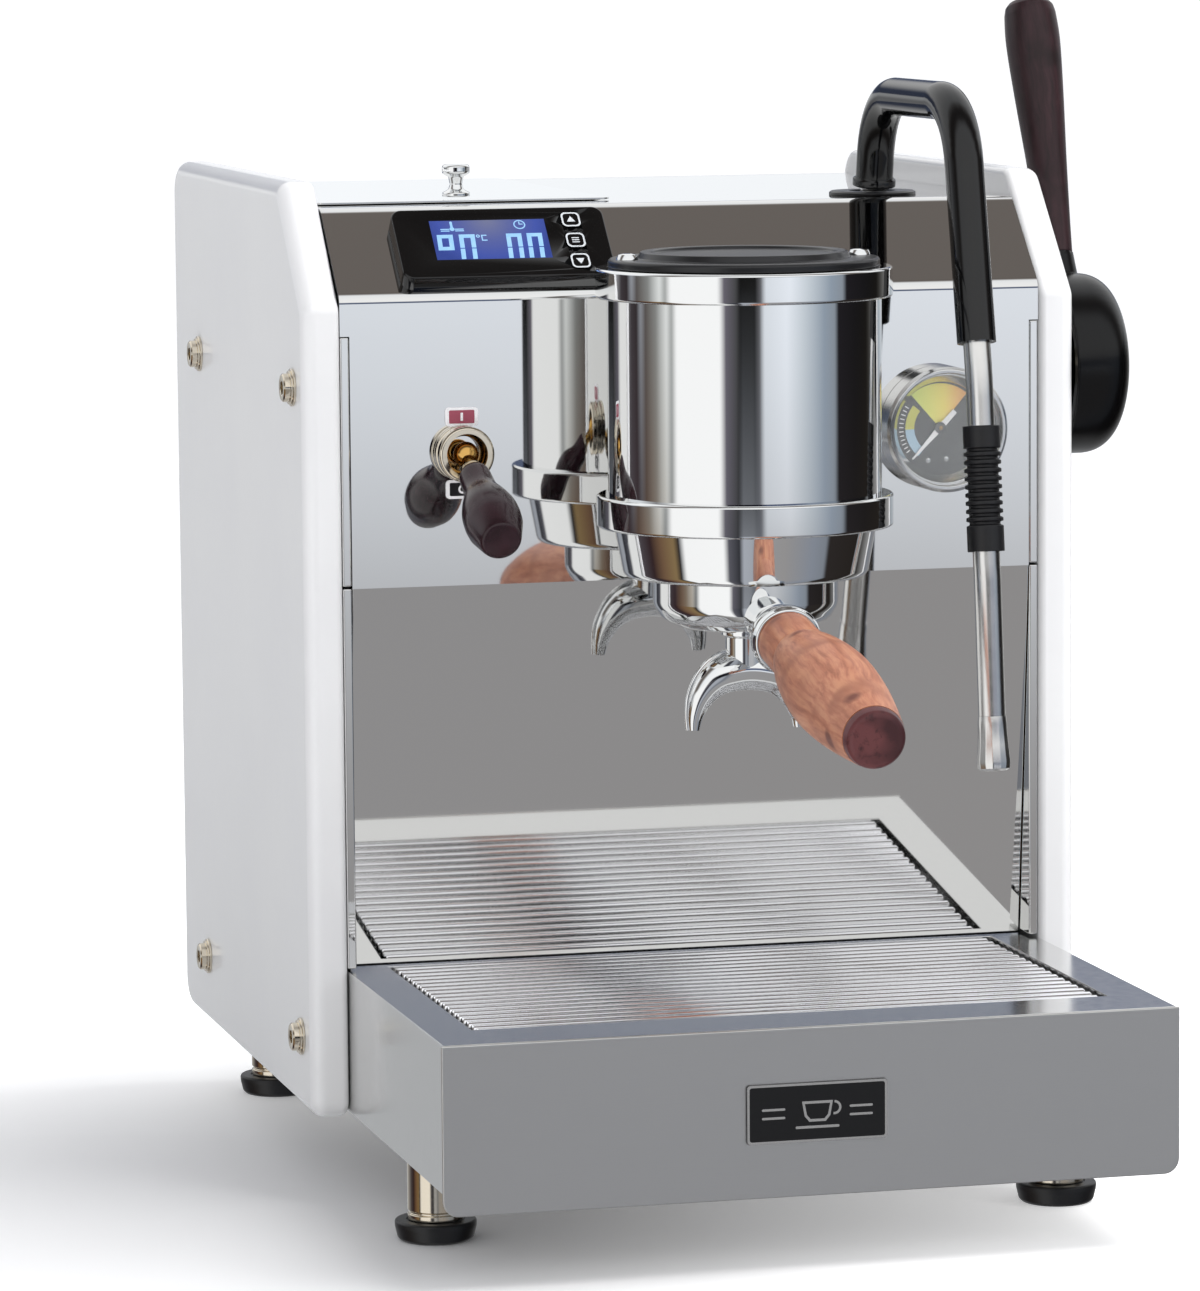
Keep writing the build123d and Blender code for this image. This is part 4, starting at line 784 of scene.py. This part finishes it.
def disc(radius, x=0.0, y=0.0, steps=24):
    """A circle's outline about (x, y)."""
    return [(x + radius * math.cos(math.tau * i / steps), y + radius * math.sin(math.tau * i / steps))
            for i in range(steps)]


FACING = ((1, 0, 0), (0, 0, 1))
label_spots = {"on": (14.2, enamel_red), "off": (-14.2, black_abs)}
for word, (up, field) in label_spots.items():
    spot = at(BREW_X, 1.98, BREW_Z + up)
    fit(smooth(flat_shape("label_plate_" + word, [rounded(13.2, 7.4, 1.6)], spot, *FACING, 0.5)), "machine",
        enamel_white, "needle_white")
    raised = spot + Vector((0, -0.5 * MM, 0))
    fit(flat_shape("label_field_" + word, [rounded(10.2, 5.2, 0.5)], raised, *FACING, 0.06), "machine", field,
        "plum_grip")
    mark = [rounded(1.0, 3.2, 0.2)] if word == "on" else bars(disc(1.7), disc(0.9))
    fit(flat_shape("label_mark_" + word, mark, raised + Vector((0, -0.06 * MM, 0)), *FACING, 0.05), "machine",
        enamel_white, "needle_white")

# ------------------------------------------------------------------ display
# A gloss black moulding on the slope holds a blue backlit screen and three small square keys.
# Its digits and signs are lit; the keys have a pale printed outline and mark.
GLOSS_BLACK = "#050506"
SLOPE = math.atan2(33.0, 34.0)
SLOPE_UP = (0, math.cos(SLOPE), math.sin(SLOPE))
SLOPE_OUT = (0, -math.sin(SLOPE), math.cos(SLOPE))
DISPLAY_UP = 21.8
CASE_HEIGHT = 6.52
SCREEN_X = -4.9

gloss_black = hazed("gloss_black_moulding", GLOSS_BLACK, 20.0, 0.06, 0.12, detail=3.0)


def on_slope(x, up, height):
    """A point of the sloping sheet in mm from the display's centre, at a height off the sheet."""
    along = DISPLAY_UP + up
    return at(-73.9 + x, 2 + along * SLOPE_UP[1] + height * SLOPE_OUT[1],
              356.5 + along * SLOPE_UP[2] + height * SLOPE_OUT[2])


refinished("display_case", "display_case_moulded", "machine", gloss_black, "black_gloss")

backlit, tree, shader, where = material("blue_backlit_screen")
glow = add_node(tree, "VectorMath", {0: where, 1: on_slope(SCREEN_X, 12.0, CASE_HEIGHT)},
                operation="DISTANCE")
fall = add_node(tree, "MapRange", {"Value": glow.outputs["Value"], "From Max": 26 * MM})
blue = add_node(tree, "ValToRGB", {"Fac": fall.outputs[0]},
                stops=[(0.0, "#7b80a2"), (0.4, "#5b67aa"), (0.75, "#4056b2"), (1.0, "#2f469c")])
feed(shader, {"Base Color": linear("#10121c"), "Roughness": 0.25, "Emission Strength": 0.85,
              "Emission Color": blue.outputs[0]})
refinished("display_screen", "display_screen_lit", "machine", backlit, "screen_blue")

lit_sign, tree, shader, where = material("lit_cyan_segments")
flicker = add_node(tree, "TexNoise", {"Vector": where, "Scale": 1 / (3.3 * MM)})
bright = add_node(tree, "ValToRGB", {"Fac": flicker.outputs[0]}, stops=[(0.3, "#97ccfb"), (0.7, "#a8d8ff")])
feed(shader, {"Base Color": linear("#203040"), "Emission Strength": 1.0, "Emission Color": bright.outputs[0]})
# Each lit bar of a figure: its column, its row, and whether it lies across
SEGMENTS = {"a": (0, 2, 1), "b": (1, 1, 0), "c": (1, 0, 0), "e": (0, 0, 0), "f": (0, 1, 0), "g": (0, 1, 1)}
FIGURE_HIGH = 14.6
STROKE = 1.8
SLANT = 0.06


def digit(lit, left, top, width):
    """The lit segments of a slanting figure as outlines, from its top left corner in mm."""
    loops = []
    half = FIGURE_HIGH / 2
    for key in lit:
        column, row, across = SEGMENTS[key]
        x, y = left + column * (width - STROKE), top - FIGURE_HIGH + row * half
        w, h = (width, STROKE) if across else (STROKE, half - 0.5)
        y += -STROKE / 2 if across and row == 1 else (-STROKE if across else 0.25)
        corners = [(x, y), (x + w, y), (x + w, y + h), (x, y + h)]
        loops.append([(px + (py - top) * SLANT, py) for px, py in corners])
    return loops


screen_face = on_slope(SCREEN_X, 1.6, 6.56)
left, top = -23.2, 10.4
signs = []
figures = (("abfg", 1.9, 6.4), ("abcef", 10.7, 6.4), ("abcef", 29.7, 6.2), ("abcef", 38.0, 6.2))
for lit, shift, width in figures:
    signs += digit(lit, left + shift, top - 7.6, width)
signs = [[(x, max(y, -10.2)) for x, y in loop] for loop in signs if max(y for _, y in loop) > -9.9]
signs += bars(disc(0.8, left + 18.3, top - 8.6, 12), disc(0.4, left + 18.3, top - 8.6, 12))
degree_c = [(0, 0), (2.2, 0), (2.2, 0.5), (0.5, 0.5), (0.5, 2.6), (2.2, 2.6), (2.2, 3.1), (0, 3.1)]
signs += [[(left + 19.6 + x, top - 8.0 - y) for x, y in degree_c]]
signs += bars(disc(2.4, left + 36, top - 2.9), disc(1.9, left + 36, top - 2.9))
clock_hands = [(0, 0), (1.6, 0), (1.6, 0.4), (0.4, 0.4), (0.4, 1.6), (0, 1.6)]
signs += [[(left + 35.8 + x, top - 2.9 + y) for x, y in clock_hands]]
signs += [rounded(1.0, 3.6, 0.45, left + 8.6, top - 2.4), disc(1.0, left + 8.6, top - 4.6, 12)]
signs += [rounded(3.6, 0.5, 0.2, left + 8.6 + way * 2.9, top - 5.6 + step)
          for way in (-1, 1) for step in (0, 0.9)]
fit(flat_shape("screen_signs", signs, screen_face, (1, 0, 0), SLOPE_UP, 0.04), "machine", lit_sign,
    "screen_blue")

key_print = hazed("pale_key_print", "#c4c8cc", 1.7, 0.3, 0.45)
key_marks = {"up": (11.0, [[(-1.7, -1.2), (1.7, -1.2), (0, 1.7)]]),
             "set": (0.0, [rounded(3.0, 0.5, 0.2, 0, step) for step in (-1.1, 0, 1.1)]),
             "down": (-11.0, [[(-1.7, 1.2), (0, -1.7), (1.7, 1.2)]])}
for key, (up, mark) in key_marks.items():
    refinished("button_" + key, "key_" + key + "_cap", "key_" + key, gloss_black, "black_gloss", 0.25)
    rim = bars(rounded(7.5, 7.5, 2.0), rounded(6.1, 6.1, 1.5))
    printed = flat_shape("key_" + key + "_print", rim + mark, on_slope(29.0, up, 6.91), (1, 0, 0), SLOPE_UP,
                         0.03)
    fit(printed, "key_" + key, key_print, "needle_white")

# ------------------------------------------------------------------ pressure gauge
# A spun steel case with a bright bezel, pressed into the front sheet. Behind the flat lens a
# coned ring frames a printed dial: a green to orange fan, two coloured arcs and white ticks.
DIAL_GREY = "#38383d"
GAUGE_X, GAUGE_Z = 101, 299.4
GAUGE_SPOT = at(GAUGE_X, 2, GAUGE_Z)
DIAL_FACE = at(GAUGE_X, 1.66, GAUGE_Z)

satin_steel = hazed("satin_spun_steel", "#dededd", 4.0, 0.14, 0.22, METAL, detail=4.0)

dial_paint = hazed("matt_grey_dial_paint", DIAL_GREY, 1.1, 0.45, 0.6, {"Specular IOR Level": 0.3})

dial_fan, tree, shader, where = material("dial_fan_print_painted_glow")
across = add_node(tree, "SeparateXYZ", {"Vector": where})
place = add_node(tree, "MapRange", {"Value": across.outputs[0], "From Min": GAUGE_SPOT.x - 12 * MM,
                                    "From Max": GAUGE_SPOT.x + 12 * MM})
fan = add_node(tree, "ValToRGB", {"Fac": place.outputs[0]},
               stops=[(0.05, "#b9cc5c"), (0.35, "#d3d354"), (0.6, "#e6cf4e"), (0.8, "#eaa94e"),
                      (1.0, "#d9824a")])
# Besides its print colours, the fan has a faint yellow glow of its own, though it is no lamp. This glow is
# painted light.
feed(shader, {"Base Color": fan.outputs[0], "Roughness": 0.5, "Emission Color": linear("#e6d24e"),
              "Emission Strength": 0.12})


def arc(start, stop, outer, inner, steps=16):
    """A band of a ring between two angles in degrees, as four-sided loops."""
    turns = [math.radians(start + (stop - start) * i / steps) for i in range(steps + 1)]
    ring = [[(r * math.cos(a), r * math.sin(a)) for a in turns] for r in (inner, outer)]
    return [[ring[0][i], ring[0][i + 1], ring[1][i + 1], ring[1][i]] for i in range(steps)]


refinished("gauge_case", "gauge_case_spun", "machine", satin_steel, "brushed_steel", 0.35)
cone_outline = [(22.3, 8.5), (18.6, 3.5), (18.4, 0.1), (19.2, 0.1), (21.1, 3.2), (22.3, 8.2)]
cone = turned("gauge_cone_ring", cone_outline, GAUGE_SPOT, FRONT, 0.3)
fit(cone, "machine", satin_steel, "brushed_steel")
dial_outline = [(0, 0.03), (20, 0.03), (20, 0.33), (0, 0.33)]
dial_plate = turned("gauge_dial_painted", dial_outline, GAUGE_SPOT, FRONT, 0, 64)
fit(dial_plate, "machine", dial_paint, "dial_print", "gauge_dial")
olive_ink = hazed("dial_olive_ink", "#ccc94a", 1.25, 0.4, 0.55)
blue_ink = hazed("dial_pale_blue_ink", "#a9c8dd", 1.25, 0.4, 0.55)
ticks = [loop for i in range(12) for loop in arc(147.4 + i * 6.1, 148.8 + i * 6.1, 16.8, 15.0, 1)]
dial_prints = {"dial_fan": (arc(50, 131.5, 17.7, 0.6), dial_fan),
               "dial_arc_olive": (arc(140, 182, 14.2, 10.5), olive_ink),
               "dial_arc_blue": (arc(182, 232, 14.2, 10.5), blue_ink), "dial_ticks": (ticks, enamel_white)}
for name, (loops, ink) in dial_prints.items():
    fit(flat_shape(name, loops, DIAL_FACE, *FACING, 0.03), "machine", ink, "dial_print")
dial_screws = joined([turned("dial_screw", [(0, 0), (1.0, 0), (1.0, 0.35), (0.7, 0.5), (0, 0.5)],
                             DIAL_FACE + Vector((x * MM, 0, z * MM)), FRONT, 0, 20)
                      for x, z in ((-4.8, -13.0), (2.7, -12.6))], "dial_screws")
fit(smooth(dial_screws), "machine", satin_steel, "brushed_steel")

NEEDLE_TURN = math.radians(226.8)
pointer = [(-9.0, 1.0), (0, 1.2), (16.8, 0.3), (16.8, -0.3), (0, -1.2), (-9.0, -1.0)]
pointer = [(x * math.cos(NEEDLE_TURN) - y * math.sin(NEEDLE_TURN),
            x * math.sin(NEEDLE_TURN) + y * math.cos(NEEDLE_TURN)) for x, y in pointer]
blade = flat_shape("blade", [pointer], at(GAUGE_X, 1.1, GAUGE_Z), *FACING, 0.6)
fit(blade, "needle", enamel_white, "needle_white", "gauge_needle")
blade.name = "gauge_needle_blade"
hub_outline = [(0, 0.6), (2.3, 0.6), (2.3, 1.8), (1.9, 2.2), (0, 2.3)]
fit(turned("needle_hub", hub_outline, GAUGE_SPOT, FRONT, 0.1, 32), "needle", dial_paint, "needle_white")
fit(turned("needle_pin", [(0, 2.2), (0.8, 2.2), (0.8, 2.5), (0, 2.7)], GAUGE_SPOT, FRONT, 0.1, 20),
    "needle", brass, "brass")

lens_glass = hazed("flat_gauge_glass", "#f4f8f8", 12.5, 0.02, 0.05, {"Alpha": 0.1})
refinished("gauge_lens", "gauge_lens_glass", "machine", lens_glass, "clear_glass")

# ------------------------------------------------------------------ steam wand
# A satin steel tube bent over an arch, with a gloss black sleeve on the arch, a ribbed rubber
# grip to hold it by and a fluted tip. It swings in a black grommet in the top plate.
wand_steel = hazed("satin_wand_steel", "#e4e3e1", 5.6, 0.18, 0.26, METAL, detail=4.0)

refinished("wand_tube", "wand_tube_satin", "steam_wand", wand_steel, "chrome")
refinished("wand_arm_sleeve", "wand_arm_gloss", "steam_wand", gloss_black, "black_plastic")
GRIP_FOOT = at(94, -71.5, 326)
grip_way = Vector((0, -10.1, -76.0)).normalized()
RIBS = 10
RIB_START = 28.5
rib_pitch = 31.5 / RIBS
grip_outline = [(5.4, 20), (7.2, 20), (7.2, RIB_START)]
for rib in range(RIBS):
    start = RIB_START + rib * rib_pitch
    grip_outline += [(6.0, start + 0.25), (6.0, start + 0.4 * rib_pitch), (7.2, start + 0.55 * rib_pitch),
                     (7.2, start + 0.98 * rib_pitch)]
grip_outline += [(7.2, 68.5), (5.4, 68.5)]
fit(turned("wand_grip_ribbed", grip_outline, GRIP_FOOT, grip_way, 0.3, 64), "steam_wand", rubber,
    "black_rubber", "wand_grip_sleeve")
TIP_FOOT = at(94, -87.6, 195)
tip_way = Vector((0, -6.0, -55.0)).normalized()
tip_outline = [(0, 0.1), (5.5, 0.1), (5.7, 3), (5.75, 6, 14), (6.1, 11, 14), (6.7, 17.6, 14), (6.4, 20.2, 14),
               (5.2, 21.0, 14), (3, 21.4), (0, 21.4)]
fit(turned("wand_tip_fluted", tip_outline, TIP_FOOT, tip_way, 0, 112), "steam_wand", wand_steel, "chrome",
    "wand_tip")
for node, finish, slot in (("wand_grommet", black_abs, "black_plastic"), ("wand_socket", brass, "brass")):
    refinished(node, node + "_turned", "machine", finish, slot)

# ------------------------------------------------------------------ steam lever
# A black moulded hub on the right side turns the steam valve. A lever of dark, oiled wood
# stands in its rim.
HUB_SPOT = at(167, 36, 321)
LEVER_LEAN = math.radians(20.0)
lever_way = Vector((0, math.sin(LEVER_LEAN), math.cos(LEVER_LEAN)))
hub_black = hazed("polished_black_phenolic", "#040405", 8.3, 0.2, 0.28, {"Specular IOR Level": 0.32},
                  detail=3.0)
refinished("steam_hub", "steam_hub_moulded", "steam_lever", hub_black, "black_plastic")
wenge = wood("oiled_wenge_wood", ("#2c191d", "#241317", "#190d0f", "#120809"), lever_way, HUB_SPOT, 0.4, 50.0)
lever_curve = curved([(6.3, 46.05), (6.9, 60), (8.3, 86), (10.2, 116), (11.15, 137), (10.6, 149)])
lever_outline = [(0, 46.05), *lever_curve, (9.9, 152), (8.2, 154.0), (6.0, 154.6), (0, 154.8)]
fit(turned("steam_lever_wooden", lever_outline, HUB_SPOT, lever_way, 0.5, 96), "steam_lever", wenge,
    "dark_wood", "steam_lever_handle")

# ------------------------------------------------------------------ drip drawer
# A folded steel drawer with a separate front plate of brushed steel, a dark badge on it, a
# deep pressed pan inside and a grille of round polished rods.
BRUSH_MM = 0.35
brushed, tree, shader, where = material("brushed_stainless")
BRUSH_SCALE = 1 / (BRUSH_MM * MM)
laid = add_node(tree, "Mapping", {"Vector": where, "Scale": (0.012 * BRUSH_SCALE, BRUSH_SCALE, BRUSH_SCALE)})
lines = add_node(tree, "TexNoise", {"Vector": laid.outputs[0], "Scale": 1.0, "Detail": 4.0})
worn = add_node(tree, "MapRange", {"Value": lines.outputs[0], "To Min": 0.3, "To Max": 0.46})
dent = add_node(tree, "Bump", {"Height": lines.outputs[0], "Strength": 0.12, "Distance": 0.2 * MM})
feed(shader, {"Base Color": linear("#d7d6d4"), "Metallic": 1.0, "Anisotropic": 0.4,
              "Roughness": worn.outputs[0], "Normal": dent.outputs[0]})

refinished("tray_body", "tray_body_folded", "drip_drawer", satin_steel, "polished_steel", 0.4)
refinished("tray_front_plate", "tray_front_brushed", "drip_drawer", brushed, "brushed_steel", 0.45)
refinished("drip_pan", "drip_pan_pressed", "drip_drawer", satin_steel, "brushed_steel")

badge_black = hazed("black_badge_enamel", "#0b0b0d", 3.3, 0.25, 0.35, {"Specular IOR Level": 0.4})
refinished("badge_plate", "badge_enamelled", "drip_drawer", badge_black, "badge_black", 0.2)
DRAWER_FRONT, PLATE_THICK, BADGE_THICK, GAP = -164.5, 1.5, 1.0, 0.02
badge_face = at(0, DRAWER_FRONT - PLATE_THICK - BADGE_THICK - 2 * GAP, 60)
badge_lines = bars(rounded(54.3, 22.3, 1.2), rounded(52.5, 20.5, 0.9))
cup_side = [(-6.0, 4.2), (-5.0, -1.4), (-3.2, -3.6), (3.2, -3.6), (5.0, -1.4), (6.0, 4.2)]
cup_inside = [(-4.9, 3.2), (-4.1, -1.0), (-2.7, -2.6), (2.7, -2.6), (4.1, -1.0), (4.9, 3.2)]
badge_lines += bars(cup_side, cup_inside)
badge_lines += [rounded(17.0, 1.0, 0.45, 0, -5.6)]
badge_lines += [[(x + 6.6, y + 1.4) for x, y in loop] for loop in arc(-100, 90, 2.7, 1.8, 12)]
badge_lines += [rounded(9.0, 0.9, 0.4, way * 17.0, step) for way in (-1, 1) for step in (-1.6, 1.6)]
fit(flat_shape("badge_lines", badge_lines, badge_face, *FACING, 0.12), "drip_drawer", satin_steel,
    "badge_black")

rod_steel = hazed("drawn_bright_rod", "#fcfcff", 4.5, 0.13, 0.19, METAL, detail=3.0)

RODS = 18
ROD_R = 2.5
ROD_HALF = 121.9
ROD_FRONT = -131.8
ROD_BACK = 5.3
ROD_Z = 89.3
ROD_LONG = 2 * ROD_HALF
rod_outline = [(0, 0), (ROD_R - 0.4, 0), (ROD_R, 0.5), (ROD_R, ROD_LONG - 0.5), (ROD_R - 0.4, ROD_LONG),
               (0, ROD_LONG)]
rod = turned("rod", rod_outline, at(-ROD_HALF, ROD_FRONT, ROD_Z), (1, 0, 0), 0, 24)
rods = in_rows(rod, "grille_rods", rod_steel, RODS, (0, (ROD_BACK - ROD_FRONT) / (RODS - 1), 0))
fit(rods, "grille", rod_steel, "brushed_steel", "drip_grille")
WIRE_LONG = ROD_BACK - ROD_FRONT + 4
for name, inset in (("grille_wires", 2 * ROD_HALF / 3), ("grille_end_wires", 4)):
    wire = turned("wire", [(0, 0), (1.8, 0), (1.8, WIRE_LONG), (0, WIRE_LONG)],
                  at(inset - ROD_HALF, ROD_FRONT - 2, ROD_Z - 3.0), (0, 1, 0), 0, 20)
    wires = in_rows(wire, name, chrome, 2, (2 * (ROD_HALF - inset), 0, 0))
    fit(wires, "grille", chrome, "brushed_steel")

# ------------------------------------------------------------------ back, frame and inside
# The back is a plain satin sheet with a black appliance inlet. Inside are a milky tank, a
# copper boiler with its heater, a pump, brass valves and copper pipes on a folded frame.
milky_tank = two_tone("milky_tank_plastic", 33.3, [(0.3, "#dfe4e6"), (0.7, "#e9edee")],
                      {"Roughness": 0.35, "Alpha": 0.75})[0]
copper = two_tone("drawn_copper", 28.6, [(0.3, "#b5673f"), (0.7, "#d28a60")],
                  {"Roughness": 0.28, "Metallic": 1.0}, 4.0)[0]
board, tree, shader, where = material("green_circuit_board")
cells = add_node(tree, "TexVoronoi", {"Vector": where, "Scale": 1 / (3.8 * MM)})
tone = add_node(tree, "ValToRGB", {"Fac": cells.outputs[0]}, stops=[(0.2, "#1f5a38"), (0.6, "#2c6f48")])
feed(shader, {"Roughness": 0.45, "Base Color": tone.outputs[0]})
ptfe = hazed("white_ptfe", "#ecebe6", 2.5, 0.4, 0.5)

refinished("rear_panel", "rear_panel_sheet", "machine", satin_steel, "brushed_steel", 0.25)
refinished("power_inlet", "power_inlet_moulded", "machine", black_abs, "black_plastic", 0.2)
inside_finishes = {
    satin_steel: ("inner_frame", "filter_basket", "shower_screen", "steam_spindle", "heating_element"),
    milky_tank: ("water_tank",), copper: ("steam_boiler", "pipes"), brass: ("solenoid_valve", "steam_valve"),
    black_abs: ("pump", "brew_switch"), rubber: ("group_gasket",), board: ("control_board",),
    ptfe: ("wand_swivel_ring",),
}
for finish, nodes in inside_finishes.items():
    for node in nodes:
        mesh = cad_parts[node].data
        mesh.materials.clear()
        mesh.materials.append(finish)
